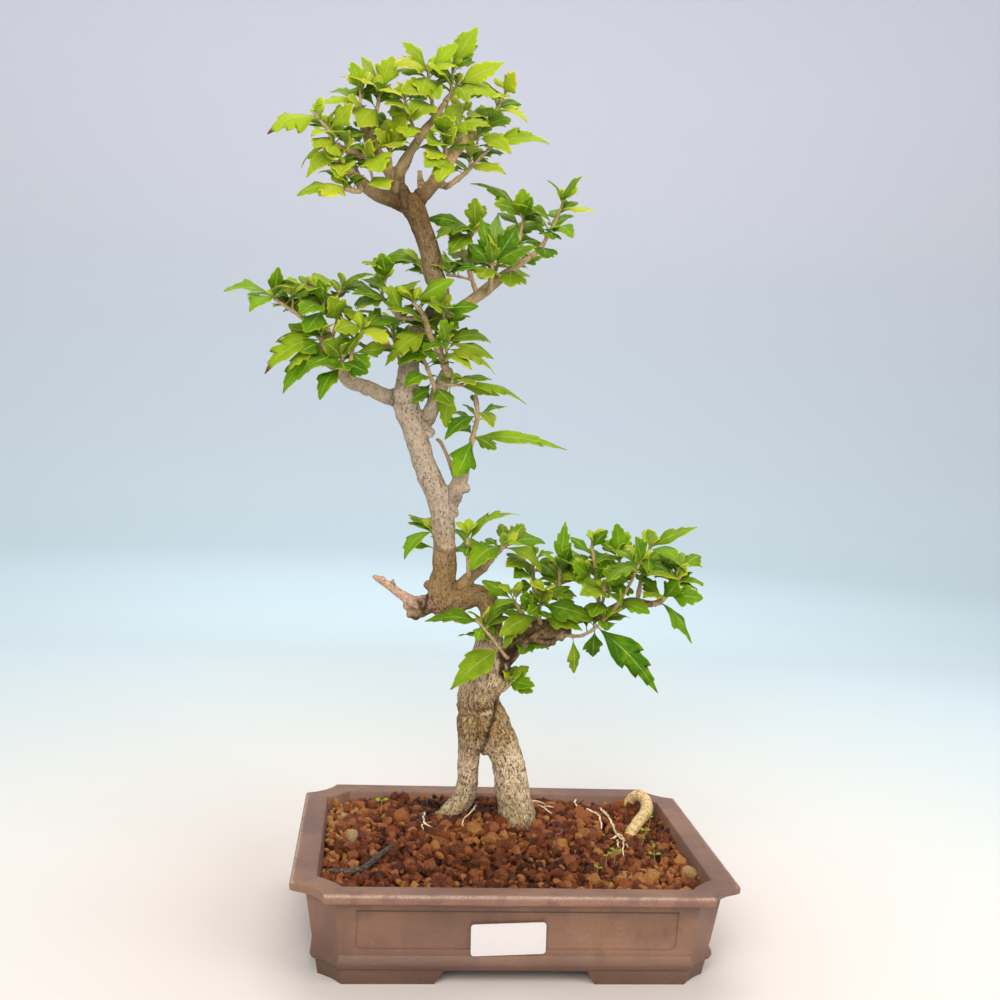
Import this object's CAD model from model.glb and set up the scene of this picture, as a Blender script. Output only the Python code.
import math

import bmesh
import bpy
import numpy as np
from bpy.props import FloatProperty, FloatVectorProperty, IntProperty, PointerProperty
from mathutils import Matrix, Vector, noise
from mathutils.kdtree import KDTree


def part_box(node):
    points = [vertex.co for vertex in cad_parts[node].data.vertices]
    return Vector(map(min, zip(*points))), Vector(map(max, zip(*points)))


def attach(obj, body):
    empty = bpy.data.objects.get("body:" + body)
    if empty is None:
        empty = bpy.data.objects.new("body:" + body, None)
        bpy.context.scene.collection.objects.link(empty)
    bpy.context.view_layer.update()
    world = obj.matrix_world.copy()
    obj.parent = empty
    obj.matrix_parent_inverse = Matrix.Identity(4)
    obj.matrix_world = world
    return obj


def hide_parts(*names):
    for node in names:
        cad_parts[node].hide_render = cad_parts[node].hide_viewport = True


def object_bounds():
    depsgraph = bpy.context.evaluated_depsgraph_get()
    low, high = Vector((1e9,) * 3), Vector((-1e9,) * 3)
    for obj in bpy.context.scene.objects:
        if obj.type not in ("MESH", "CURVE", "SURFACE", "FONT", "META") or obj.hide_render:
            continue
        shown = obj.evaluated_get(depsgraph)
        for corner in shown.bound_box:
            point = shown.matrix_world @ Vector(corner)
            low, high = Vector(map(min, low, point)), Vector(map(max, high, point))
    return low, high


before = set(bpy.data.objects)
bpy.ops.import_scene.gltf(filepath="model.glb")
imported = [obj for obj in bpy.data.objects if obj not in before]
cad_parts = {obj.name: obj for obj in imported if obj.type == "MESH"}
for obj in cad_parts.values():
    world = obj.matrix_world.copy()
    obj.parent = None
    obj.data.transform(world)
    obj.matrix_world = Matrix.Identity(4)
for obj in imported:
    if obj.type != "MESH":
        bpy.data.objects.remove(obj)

# A rose of sharon grown as a bonsai: clay pot, granular soil, trunk on two legs and leafy shoots.
# Routes and leaf tips are millimetres from the middle of the pot, +Z up, front towards -Y.

bl_info = {
    "name": "Rose of Sharon Bonsai",
    "version": (1, 0, 0),
    "blender": (4, 5, 0),
    "location": "3D View > Sidebar > Bonsai",
    "description": "Models a potted rose of sharon bonsai round its packed frame",
    "category": "Object",
}

MM = 0.001
BODY = "root"
CAD_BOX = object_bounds()
POT_LOW, POT_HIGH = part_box("pot")
SHIFT = Vector(((POT_LOW.x + POT_HIGH.x) / 2, (POT_LOW.y + POT_HIGH.y) / 2, 0))

# The viewer's place: metres from the middle of the pot, and angles in degrees
CAMERA_SPOT = (-0.097, -0.815, 0.346)
CAMERA_YAW = 5.8
CAMERA_PITCH = 3.9
CAMERA_ROLL = 2.75
CAMERA_LENS = 44.28
CAMERA_SENSOR = 36

# Studio, in metres: a round floor whose rim sweeps up to a wall
FLOOR_RADIUS = 2.2
FLOOR_SIDES = 96
FLOOR_RIM = FLOOR_RADIUS * 0.9  # what lies further out is the rim
SWEEP_RADIUS = 1.5
SWEEP_STEPS = 14
WALL_HEIGHT = 1.6
# Soft lamps: name, place, size, share of the lamps' power
LAMPS = [
    ("key_lamp", (-0.5, -1.7, 1.35), 1.3, 1),
    ("fill_lamp", (1.3, -1.1, 1.1), 1.2, 0.45),
    ("top_lamp", (0.1, 0.6, 1.9), 1.4, 0.6),
]
LAMP_AIM = (0, 0, 0.25)
BACKDROP_LAMP = ("backdrop_lamp", (0.1, 1.1, 1.5), 1.2)
BACKDROP_LAMP_TILT = 84  # degrees

# Pot, in millimetres
POT_HALF_LENGTH = 139
POT_HALF_DEPTH = 109
CORNER_CUT = 21.5
CORNER_CENTRE = 8
CORNER_RADIUS = math.hypot(CORNER_CUT + CORNER_CENTRE, CORNER_CENTRE)
SOIL_INSET = 16.2  # how far the soil stays inside the rim's outline
TREE_FOOT = (-8, 47)
SOIL_EDGE = 53
SOIL_RISE = 8
MOUND_REACH = (85, 70)
FOOT_HOLLOWS = [(15, 36, 20, 6.5), (-36, 56, 18, 5.5)]  # x, y, reach, depth
SEEN_LEVEL = 61  # the level that places on the soil are listed at
BED_TOP = 40  # what is higher in the bed belongs to its upper face
BED_SINK = 2.4  # how far that face is sunk to lie below the grains
BED_TONE = 0.05
GRAIN_TOP = 2.6  # how far the grains rise above the bed's level
GRAIN_SEED = 12
GRAIN_SHAPES = 9
GRAIN_FACETS = 9
GRAIN_SIZES = (0.6, 0.85, 1.0, 1.22, 1.45)
GRAIN_ODDS = (0.18, 0.26, 0.28, 0.2, 0.08)
GRAIN_SHIFT = 0.45  # how far a grain may lie off the grid, in steps of it
GRAIN_DEPTH = 1.1  # how far the grains' middles lie below the bed's level
GRAIN_LIFT = (-1.5, 0.9)  # and how far a grain may be lifted from there
CRUMB_SIZE = 0.55  # against a grain's
CRUMB_SPACING = 0.92  # likewise
CRUMB_LIFT = 1.6  # crumbs lie this much higher than grains
LUMP_DEPTH = 0.35  # how far lumps are sunk, in radii
FINE_ROOT_RADIUS = 0.72
RED_STEM_RADIUS = 0.8

# Leaves, in millimetres; widths are in percent of the length
GOLDEN_ANGLE = math.radians(137.5)
RULE_LEAVES = 5
RULE_WIDTH = 52
INNER_WIDTH = 54
YOUNG_WIDTH = 58
SEEDLING_WIDTH = 75
PETIOLE_LENGTH = 4
PETIOLE_RADIUS = 0.5
# The least length of the leaves that no list gives, and how much luck can add
RULE_LENGTH = (24, 12)
INNER_LENGTH = (20, 12)
INNER_LEAST = 10  # where a shoot's bounds cut an inner leaf short
YOUNG_LENGTH = (8, 9)
SEEDLING_LENGTH = (3.4, 1.4)
# How much luck can do to a blade: heights and reaches in shares of its half width or its length
FOLD = 0.9
WAVE = 0.16
CURL = 0.09
NOD = 0.1
TWIST = 1.1  # radians
LOOK_DOWN = 330  # rise above the viewer's eye at which an upper face leans a full unit to the front
TIP_GAP = 0.6  # how near to the frame's leaf a tip has to be
# How a leaf is swung and shortened, try by try, where the frame has moved it
SWINGS = [math.radians(a) for a in (0, 14, -14, 28, -28, 42, -42, 58, -58)]
SWING_SHRINK = 0.96
# Every leaf has a number that its luck depends on: how many a shoot has, and where its kinds start
SHOOT_NUMBERS = 40
INNER_NUMBERS = 20
YOUNG_NUMBERS = 30
SEEDLING_NUMBERS = 90
BOX_MARGIN = 0.0005  # how far leaves stay inside the CAD box, in metres
# The side a leaf's upper face looks to, and how far it arches, in degrees
UP = ((0.03, -0.42, 1), 72)
UP_FRONT = ((0, -0.9, 0.7), 50)
FRONT = ((0, -1, 0.25), 36)
BACK = ((0, 1, 0.35), 36)

# Limbs of the trunk as (x, y, z, radius)
LIMBS = {
    "trunk": [
        (17, 47, 32, 14.2), (16, 47, 38, 13.8), (15, 47, 52, 13.4), (11, 48, 72, 12.8), (7, 49, 92, 12),
        (1, 50, 110, 12.2), (-6, 51, 124, 13), (-12, 52, 135, 12.8), (-18, 52, 145, 15),
        (-15, 52, 154, 15.2), (-11, 52, 163, 14.4), (-12, 52, 177, 11.8), (-11, 53, 191, 9),
        (-11, 54, 204, 8), (-14, 55, 213, 8), (-22, 56, 217, 8.2), (-34, 56, 214, 9), (-43, 55, 215, 10),
        (-47, 54, 224, 9.4), (-46, 53, 236, 8.8), (-47, 52, 252, 8), (-49, 52, 271, 8.3), (-52, 52, 285, 9),
        (-59, 52, 300, 8.6), (-66, 52, 316, 8.3), (-71, 52, 332, 8.4), (-77, 52, 346, 9),
        (-79, 52, 357, 9.4), (-78, 52, 366, 8), (-77, 52, 379, 7.2), (-75, 54, 391, 6.6),
        (-71, 56, 402, 6.6), (-63, 58, 412, 7), (-57, 58, 423, 7.2), (-59, 56, 433, 7.2),
        (-63, 54, 444, 7.4), (-66, 52, 457, 7.2), (-71, 51, 470, 7.2), (-76, 50, 481, 7.6),
        (-80, 49, 490, 8.2),
    ],
    "left_leg": [
        (-19, 52, 140, 11), (-22, 53, 126, 10.4), (-22, 55, 114, 9.4), (-22, 58, 103, 8.4),
        (-22, 61, 84, 7.8), (-24, 63, 68, 8.3), (-32, 63, 56, 8.4), (-41, 62, 49, 7), (-49, 61, 42, 5.5),
    ],
    "left_limb": [
        (-80, 52, 355, 6.5), (-92, 51, 356, 5.5), (-107, 45, 362, 5), (-118, 39, 365, 5.2),
        (-126, 34, 374, 4.4), (-132, 31, 377, 4.2), (-137, 29, 385, 3.6), (-133, 30, 393, 3),
        (-136, 28, 403, 2.4),
    ],
    "right_limb": [
        (-56, 58, 410, 5.5), (-49, 58, 416, 4.4), (-41, 60, 422, 4), (-27, 64, 433, 4.2), (-17, 68, 442, 4),
        (-3, 74, 454, 2.8), (8, 77, 462, 2.2),
    ],
    "centre_limb": [(-67, 52, 335, 6.2), (-59, 52, 351, 5.4), (-54, 52, 366, 5.6), (-50, 51, 375, 5)],
    "middle_shoot": [
        (-46, 52, 282, 7), (-43, 52, 287, 6.4), (-38, 52, 299, 5.7), (-35, 52, 309, 4.2),
        (-33, 51, 321, 2.9),
    ],
    "dead_twig": [(-40, 53, 299, 2.4), (-48, 55, 317, 1.6), (-53, 56, 326, 1.5), (-56, 56, 328, 1.4)],
    "right_low_limb": [(-45, 55, 215, 7), (-36, 56, 221, 5.6), (-27, 58, 230, 4.5), (-17, 60, 237, 3.2)],
    "dead_stub": [
        (-48, 55, 211, 7.5), (-59, 54, 211, 6), (-66, 53, 211, 5), (-72, 52, 214, 3.9), (-83, 52, 221.5, 3),
        (-92, 52, 227, 2.7), (-96.5, 52, 229.5, 1.4),
    ],
    "stub_sprig": [(-79, 52, 219, 1.2), (-81.5, 51, 223.5, 1), (-82.5, 50.5, 227.5, 1.3)],
    "knob": [(-54, 54, 209, 5.5), (-66, 52, 204, 4.4)],
    "pad_limb": [
        (-8, 52, 163, 8), (1, 50, 174, 6.8), (11, 50, 187, 6.2), (23, 48, 196, 6.6), (33, 45, 198, 6),
        (47, 39, 206, 4.8), (65, 28, 211, 4.2), (74, 23, 217, 3.6), (83, 20, 222, 3.2), (92, 18, 221, 2.8),
        (98, 17, 221, 2.4),
    ],
    "cut_stub": [(27, 47, 197, 6), (34, 42, 196, 5.2), (38, 39, 193, 4.2)],
    "crown_left": [
        (-82, 49, 488, 7), (-93, 48, 491, 5.8), (-105, 43, 493, 4.8), (-115, 37, 499, 4.2),
        (-120, 32, 502, 3.8),
    ],
    "crown_left_up": [(-105, 44, 520, 4.2), (-115, 35, 518, 2.8)],
    "crown_up": [
        (-84, 48, 489, 6.5), (-91, 48, 502, 5), (-96, 47, 509, 4.4), (-105, 44, 520, 4.3),
        (-111, 40, 529, 4.3), (-114, 38, 537, 4.2),
    ],
    "crown_front": [
        (-91, 47, 497, 4.5), (-89, 46, 512, 4), (-83, 44, 523, 3.3), (-78, 43, 531, 3.2),
        (-73, 43, 540, 2.9), (-69, 45, 545, 2.6), (-60, 49, 560, 1.9),
    ],
    "crown_side": [(-87, 45, 510, 2.4), (-83, 48, 519, 1.8), (-78, 45, 531, 1.4)],
    "crown_right": [
        (-81, 49, 488, 6.5), (-76, 49, 493, 5.8), (-70, 49, 499, 5.2), (-62, 51, 510, 4.8),
        (-56, 54, 522, 4.8), (-50, 58, 531, 4.6), (-44, 63, 540, 4), (-37, 69, 543, 2.9),
    ],
    "crown_right_low": [(-64, 51, 505, 3.2), (-57, 56, 504, 2.3)],
    "crown_fork": [(-74, 48, 497, 2.4), (-76, 46, 512, 1.8)],
}

ROOT_ARCH = [
    (101, 83, 44, 3.8), (102, 83, 55, 4), (105, 82, 63, 4.4), (110, 78, 66, 4.5), (113, 69, 64.5, 4.6),
    (110, 54, 62, 4.6), (100, 36, 59.5, 4.4), (92, 22, 56, 4.2), (88, 15, 48, 3.8),
]
FALLEN_TWIG = [
    (-116, -53, 55.2, 1.8), (-108, -55, 55.8, 2.2), (-99, -53, 56, 2.3), (-92, -46, 56.6, 2.2),
    (-86, -34, 57.6, 2.3), (-80, -22, 58, 2.2), (-77, -16, 58.4, 1.7),
]

# Shoots: the routes of their twigs, then leaves as (twig, share of the way along it, tip x, y, z,
# upper side, width in percent of the length)
SHOOTS = {
    # Crown: the highest shoots.
    "crown_top": ([
        [(-58, 51, 564, 1.6), (-52, 54, 572, 1.3)],
        [(-57, 51, 565, 1.1), (-56, 53, 576, 1), (-56, 55, 585, 0.8)],
    ], [
        (1, 1, -40, 49, 612, FRONT, 58), (1, 1, -48, 63, 613, BACK, 55), (1, 1, -38, 69, 605, BACK, 65),
        (1, 0.99, -45, 81, 597, UP, 72), (1, 0.94, -63, 29, 576, UP, 80),
        (0, 1, -21, 48, 589, UP_FRONT, 55), (0, 0.24, -22, 50, 564, UP, 50),
        (0, 0.63, -39, 27, 554, UP, 55), (1, 0.13, -74, 25, 577, UP, 65),
    ]),
    "crown_mid": ([[(-68, 47, 549, 1.6), (-70, 46, 562, 1.3), (-73, 49, 578, 0.9)]], [
        (0, 1, -91, 34, 593, UP_FRONT, 55), (0, 1, -54, 41, 597, FRONT, 50), (0, 1, -97, 24, 574, UP, 55),
        (0, 0.92, -77, 26, 558, UP_FRONT, 85), (0, 0.27, -82, 21, 539, UP_FRONT, 75),
        (0, 0.3, -91, 21, 557, UP, 65), (0, 0.56, -58, 73, 579, UP, 87), (0, 1, -91, 59, 600, BACK, 50),
        (0, 0.67, -65, 25, 556, FRONT, 60),
    ]),
    # Crown, left half.
    "crown_left_top": ([
        [(-110, 38, 527, 1.9), (-111, 32, 531, 1.7), (-107, 35, 546, 1.4), (-105, 40, 559, 0.9)],
        [(-111, 32, 531, 1.4), (-117, 28, 541, 1.3), (-118, 28, 557, 0.8)],
    ], [
        (0, 1, -131, 14, 562, UP, 70), (0, 1, -97, 33, 583, FRONT, 75), (0, 1, -119, 54, 587, BACK, 55),
        (0, 1, -91, 14, 553, UP, 61), (0, 1, -96, 61, 576, BACK, 45),
        (0, 0.71, -118, 10, 530, UP_FRONT, 80), (1, 1, -124, 10, 571, FRONT, 55),
        (1, 0.99, -116, 48, 575, BACK, 55), (1, 0.75, -145, 4, 541, UP, 50),
        (1, 0.7, -120, 3, 547, FRONT, 50),
    ]),
    "crown_left_tip": ([
        [(-116, 34, 517, 2.6), (-129, 20, 518, 2), (-135, 16, 521, 1.6), (-137, 15, 527, 1.2),
         (-144, 13, 534, 0.9)],
    ], [
        (0, 0.99, -175, -5, 518, UP, 52), (0, 0.75, -122, 1, 542, FRONT, 75),
        (0, 0.75, -132, 34, 546, BACK, 50), (0, 0.4, -147, -8, 518, UP, 58),
        (0, 0.43, -145, -9, 511, UP, 50), (0, 0.22, -150, 8, 495, UP, 50), (0, 0.35, -156, 42, 507, UP, 50),
        (0, 0.2, -132, 2, 524, UP, 65), (0, 0.2, -120, 6, 520, FRONT, 55),
        (0, 0.34, -136, -7, 509, FRONT, 60),
    ]),
    "crown_left_stub": ([[(-123, 30, 504, 2.8), (-128, 24, 507, 2.2), (-130, 21, 510, 1.2)]], [
        (0, 0.58, -135, -2, 506, UP, 65), (0, 0.53, -141, -2, 494, UP, 61),
        (0, 0.43, -130, -1, 494, UP, 72), (0, 0.47, -122, 51, 522, BACK, 50),
    ]),
    "crown_thin_twig": ([[(-107, 37, 498, 1.1), (-108, 33, 503, 1), (-111, 29, 513, 0.8)]], [
        (0, 0.65, -122, 6, 505, UP, 65), (0, 1, -101, 3, 501, UP_FRONT, 85), (0, 0.32, -96, 9, 491, UP, 65),
        (0, 1, -109, 5, 520, FRONT, 50),
    ]),
    "crown_low_stub": ([[(-116, 27, 492, 2), (-126, 19, 491, 1.5)]], [
        (0, 1, -156, 11, 483, UP, 50), (0, 1, -138, -7, 481, UP, 65), (0, 1, -120, 44, 500, BACK, 65),
    ]),
    "crown_inner": ([[(-96, 44, 510, 1.4), (-97, 41, 523, 1)]], [
        (0, 1, -87, 23, 542, FRONT, 80), (0, 1, -100, 57, 547, FRONT, 60), (0, 1, -87, 22, 534, FRONT, 60),
        (0, 1, -107, 17, 531, FRONT, 55), (0, 0.95, -90, 15, 520, UP, 87),
    ]),
    # Crown, right half.
    "crown_dark_twig": ([[(-78, 39, 530, 1.3), (-83, 38, 542, 1.1), (-89, 40, 558, 0.8)]], [
        (0, 0.6, -101, 12, 546, UP, 72), (0, 0.51, -96, 59, 558, FRONT, 60),
        (0, 0.44, -87, 16, 527, FRONT, 65), (0, 0.5, -81, 12, 544, FRONT, 55),
        (0, 0.91, -99, 62, 570, BACK, 55), (0, 0.32, -92, 17, 530, FRONT, 60),
    ]),
    "crown_right_tip": ([
        [(-36, 70, 543, 2.6), (-30, 71, 552, 2.2), (-26, 72, 557, 1.3), (-20, 72, 569, 1),
         (-17, 72, 574, 0.7)],
        [(-35, 71, 545, 1), (-36, 61, 538, 0.8)],
    ], [
        (0, 0.98, -13, 49, 583, FRONT, 75), (0, 0.44, -33, 46, 557, UP_FRONT, 55),
        (0, 0.73, -28, 46, 564, UP, 72), (0, 0.5, -3, 46, 549, UP, 52), (0, 0.2, -51, 44, 549, UP, 58),
        (1, 0.11, -41, 96, 561, BACK, 55), (0, 0.21, -41, 45, 548, UP, 65), (1, 1, -14, 41, 526, UP, 52),
    ]),
    "crown_centre": ([[(-59, 48, 516, 1.7), (-59, 45, 525, 1.4), (-60, 43, 538, 1)]], [
        (0, 1, -60, 17, 543, FRONT, 75), (0, 0.45, -70, 19, 533, UP, 58),
        (0, 0.53, -53, 21, 537, FRONT, 45), (0, 0.49, -72, 19, 524, UP, 72),
        (0, 0.32, -64, 21, 500, UP, 58), (0, 0.37, -73, 20, 509, UP, 72), (0, 0.99, -30, 26, 540, UP, 50),
        (0, 1, -48, 63, 563, FRONT, 50), (0, 0.97, -63, 69, 553, BACK, 60), (0, 0.28, -71, 20, 515, UP, 58),
    ]),
    "crown_right_shoot": ([
        [(-56, 57, 504, 2), (-50, 60, 509, 1.9), (-41, 66, 518, 1.5), (-33, 70, 528, 1.2),
         (-25, 72, 536, 1)],
        [(-41, 66, 518, 0.8), (-40, 66, 527, 0.7)],
    ], [
        (0, 0.92, 16, 67, 540, UP, 40), (0, 0.52, -17, 41, 512, UP, 50), (0, 0.47, -58, 91, 513, UP, 52),
        (0, 0.49, -50, 91, 528, BACK, 50), (1, 1, -40, 42, 530, FRONT, 65),
    ]),
    # Branch to the right, below the crown.
    "right_tip": ([
        [(9, 77, 463, 2), (14, 77, 468, 1.8), (19, 76, 477, 1.4), (24, 75, 487, 1.2), (28, 74, 500, 0.8)],
    ], [
        (0, 1, 13, 48, 511, UP_FRONT, 55), (0, 1, 38, 51, 516, UP_FRONT, 55),
        (0, 0.89, 50, 55, 492, UP, 55), (0, 0.77, 29, 101, 501, BACK, 55), (0, 0.62, 33, 50, 473, UP, 65),
        (0, 0.54, 21, 52, 480, FRONT, 60), (0, 0.49, 19, 50, 471, UP, 72), (0, 0.2, 15, 51, 458, UP, 87),
        (0, 0.53, -10, 56, 495, UP, 55),
    ]),
    "right_upright": ([
        [(-2, 73, 456, 1.7), (-2, 72, 470, 1.3), (0, 72, 488, 0.9)],
        [(-2, 73, 459, 1), (-5, 80, 451, 0.8)],
    ], [
        (0, 1, -39, 74, 510, UP, 37), (0, 0.99, -3, 58, 506, FRONT, 75),
        (0, 0.97, -19, 46, 494, UP_FRONT, 55), (0, 0.99, 3, 52, 500, FRONT, 50),
        (0, 0.87, 16, 98, 492, UP, 58), (1, 1, -9, 54, 437, UP, 87), (1, 1, 3, 106, 449, UP, 72),
    ]),
    "right_front": ([[(-23, 56, 435, 2), (-23, 52, 443, 1.5), (-22, 50, 452, 1.2), (-20, 51, 459, 1)]], [
        (0, 0.59, -33, 44, 483, FRONT, 42), (0, 0.62, -27, 29, 464, FRONT, 55),
        (0, 0.56, -41, 43, 464, FRONT, 55), (0, 0.67, -7, 46, 477, FRONT, 72),
        (0, 0.6, 7, 38, 464, UP_FRONT, 60), (0, 0.43, -32, 25, 438, UP, 87),
        (0, 0.71, -19, 64, 488, BACK, 55),
    ]),
    "right_back_left": ([
        [(-31, 62, 430, 1.8), (-36, 62, 443, 1.5), (-43, 58, 460, 1.3), (-40, 58, 467, 1.1),
         (-35, 58, 474, 0.8)],
        [(-35, 62, 441, 1), (-44, 56, 442, 0.9), (-54, 50, 442, 0.8)],
    ], [
        (0, 0.91, -54, 34, 454, UP, 61), (0, 0.95, -64, 32, 463, UP, 52), (0, 0.97, -69, 66, 482, UP, 50),
        (0, 0.93, -59, 32, 468, UP, 52), (0, 1, -37, 44, 495, FRONT, 65), (0, 1, -28, 73, 495, FRONT, 40),
        (1, 0.7, -57, 27, 449, UP, 65), (0, 0.39, -47, 86, 458, UP, 72), (1, 1, -36, 28, 446, UP_FRONT, 55),
        (1, 0.94, -61, 77, 449, UP, 65),
    ]),
    # Branch to the left, halfway up.
    "left_tip": ([
        [(-138, 27, 404, 1.7), (-145, 23, 404, 1.5), (-150, 22, 405, 1.4), (-158, 20, 410, 1.2),
         (-169, 18, 416, 0.9)],
        [(-157, 20, 410, 0.9), (-157, 22, 419, 0.7)],
        [(-139, 25, 404, 1.5), (-137, 25, 412, 1.2), (-137, 25, 419, 0.9)],
    ], [
        (0, 1, -201, 7, 418, UP, 50), (0, 1, -165, -3, 435, FRONT, 48), (0, 1, -187, 44, 416, UP, 52),
        (0, 1, -182, -8, 405, UP, 52), (0, 1, -157, -8, 422, UP, 65), (0, 0.79, -169, 43, 421, FRONT, 45),
        (0, 0.55, -158, 44, 415, BACK, 55), (0, 0.5, -172, 48, 413, UP, 61),
        (1, 0.9, -169, 48, 429, UP, 55), (1, 0.98, -158, -4, 427, UP_FRONT, 55),
        (2, 0.73, -146, -1, 421, UP, 55), (2, 0.44, -149, 51, 420, UP, 70),
        (2, 0.35, -147, -1, 394, UP_FRONT, 70), (2, 0.73, -145, 39, 437, BACK, 47),
        (2, 0.79, -140, -1, 429, FRONT, 42), (2, 0.73, -155, 39, 434, BACK, 47),
        (2, 0.5, -150, -1, 406, UP, 72),
    ]),
    "left_brown_tips": ([
        [(-131, 37, 394, 1.5), (-128, 40, 406, 1.3), (-129, 40, 420, 1.1), (-127, 40, 426, 0.8)],
    ], [
        (0, 0.32, -133, 16, 419, FRONT, 75), (0, 0.87, -148, 14, 426, UP, 52),
        (0, 0.99, -104, 21, 436, UP, 50), (0, 0.88, -129, 66, 434, BACK, 65),
        (0, 0.37, -123, 63, 419, FRONT, 55),
    ]),
    "left_yellow": ([
        [(-116, 32, 368, 1.9), (-117, 24, 378, 1.6), (-116, 23, 388, 1.4), (-113, 25, 395, 1.2),
         (-110, 27, 399, 0.9)],
    ], [
        (0, 1, -128, 1, 396, UP_FRONT, 55), (0, 0.54, -105, 48, 390, FRONT, 50),
        (0, 0.99, -92, 1, 387, UP, 50), (0, 1, -122, 53, 414, UP, 61), (0, 1, -99, 44, 416, FRONT, 40),
        (0, 1, -85, 53, 410, UP, 58), (0, 0.37, -104, 0, 374, FRONT, 60),
        (0, 0.37, -94, 38, 390, FRONT, 50),
    ]),
    "left_front": ([[(-124, 28, 371, 1.4), (-123, 22, 378, 1)]], [
        (0, 1, -135, -1, 389, FRONT, 70), (0, 1, -108, 14, 399, FRONT, 32),
        (0, 0.94, -120, -1, 371, FRONT, 70), (0, 0.9, -147, -3, 369, UP, 52),
        (0, 0.2, -136, 4, 351, UP, 50), (0, 0.84, -105, 0, 370, FRONT, 55),
    ]),
    "left_long_leaves": ([[(-133, 24, 383, 1.4), (-137, 18, 389, 1.2), (-137, 15, 392, 1)]], [
        (0, 0.8, -172, 2, 366, UP, 50), (0, 0.95, -168, 30, 388, UP, 52), (0, 1, -160, 32, 401, FRONT, 55),
        (0, 0.48, -149, -4, 381, FRONT, 60), (0, 0.5, -157, 3, 369, UP, 50),
        (0, 0.2, -161, 16, 354, UP, 50), (0, 0.2, -147, 49, 370, UP, 72),
    ]),
    "left_trunk_side": ([
        [(-71, 39, 410, 1.6), (-85, 38, 410, 1.4), (-93, 40, 418, 1.2), (-98, 42, 424, 1),
         (-96, 44, 436, 0.8)],
        [(-85, 38, 410, 1.3), (-91, 37, 422, 1.1)],
    ], [
        (0, 1, -112, 18, 443, UP, 50), (0, 1, -100, 23, 451, FRONT, 70), (0, 1, -105, 62, 452, FRONT, 45),
        (0, 0.69, -118, 15, 422, UP_FRONT, 55), (0, 0.57, -111, 15, 412, UP, 52),
        (0, 0.69, -117, 64, 420, FRONT, 50), (0, 0.22, -93, 22, 430, FRONT, 50),
    ]),
    # Around the upper trunk.
    "trunk_back_leaf": ([[(-64, 55, 432, 1), (-67, 58, 439, 0.9), (-72, 60, 448, 0.7)]], [
        (0, 0.98, -97, 81, 455, UP, 64), (0, 0.93, -84, 86, 452, UP, 72),
    ]),
    "centre_cluster": ([
        [(-51, 43, 375, 2.8), (-57, 41, 388, 2.6), (-64, 38, 399, 2.4), (-70, 35, 413, 2),
         (-77, 32, 420, 1.2)],
        [(-56, 41, 388, 1.2), (-54, 37, 400, 1), (-56, 37, 416, 0.8)],
        [(-53, 42, 380, 1.5), (-52, 36, 386, 1.2), (-54, 34, 393, 0.9)],
    ], [
        (0, 0.58, -99, 27, 414, UP, 61), (0, 0.53, -94, 27, 376, UP, 50),
        (0, 0.96, -89, 55, 432, FRONT, 50), (0, 0.97, -50, 22, 436, UP_FRONT, 55),
        (0, 0.88, -59, 7, 412, UP, 58), (0, 0.94, -83, 56, 432, FRONT, 50),
        (0, 0.96, -106, 40, 407, UP, 58), (1, 1, -56, 11, 416, FRONT, 80), (1, 1, -66, 14, 422, FRONT, 45),
        (1, 1, -33, 20, 419, UP_FRONT, 55), (2, 1, -59, 12, 407, FRONT, 75), (2, 1, -18, 30, 385, UP, 50),
        (2, 1, -20, 57, 397, UP, 50), (2, 0.91, -69, 9, 387, UP, 70), (2, 0.75, -19, 25, 374, UP, 50),
        (0, 0.2, -36, 16, 376, UP, 52), (0, 0.2, -69, 21, 386, FRONT, 60), (0, 0.2, -90, 58, 376, UP, 50),
    ]),
    "centre_stub": ([[(-57, 43, 358, 1.8), (-62, 41, 370, 1.5), (-68, 40, 383, 1.3)]], [
        (0, 0.44, -80, 15, 363, UP, 61), (0, 0.25, -70, 60, 350, FRONT, 70),
        (0, 0.2, -47, 17, 351, UP_FRONT, 65), (0, 0.39, -68, 65, 358, FRONT, 50),
    ]),
    "centre_long_leaves": ([[(-51, 46, 366, 1.3), (-45, 42, 366, 1)]], [
        (0, 1, 5, 38, 355, UP, 29), (0, 1, -13, 48, 360, FRONT, 32), (0, 0.89, -33, 16, 366, UP, 50),
        (0, 0.89, -42, 68, 375, FRONT, 45), (0, 0.44, -50, 48, 336, FRONT, 50),
    ]),
    "upright_cut_shoot": ([
        [(-32, 50, 323, 2), (-30, 50, 333, 1.8), (-28, 50, 345, 1.7), (-30, 50, 360, 1.6)],
    ], [
        (0, 0.66, -51, 33, 328, UP, 50), (0, 0.7, -19, 24, 338, UP, 61), (0, 0.28, -45, 76, 332, UP, 70),
        (0, 0.29, -38, 76, 340, FRONT, 35), (0, 0.22, -43, 36, 302, FRONT, 72),
        (0, 0.24, 38, 56, 324, UP_FRONT, 22), (0, 0.24, -16, 26, 323, FRONT, 45),
    ]),
    # Small shoots low on the trunk.
    "low_right_shoot": ([[(-17, 49, 239, 2), (-12, 48, 246, 1.8), (-6, 47, 253, 1.4)]], [
        (0, 1, -30, 24, 239, UP, 67), (0, 1, 21, 35, 238, UP, 50), (0, 1, -6, 70, 268, FRONT, 45),
        (0, 1, 26, 59, 256, UP, 58), (0, 1, 2, 21, 258, UP, 58), (0, 1, 10, 63, 269, FRONT, 50),
    ]),
    "low_upright": ([[(-29, 48, 233, 1.6), (-30, 48, 243, 1.4), (-31, 48, 259, 1.2)]], [
        (0, 0.88, 5, 46, 277, UP, 50), (0, 0.69, -35, 74, 250, FRONT, 50),
        (0, 0.71, -22, 73, 254, FRONT, 50), (0, 0.86, -34, 26, 249, FRONT, 45),
    ]),
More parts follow.
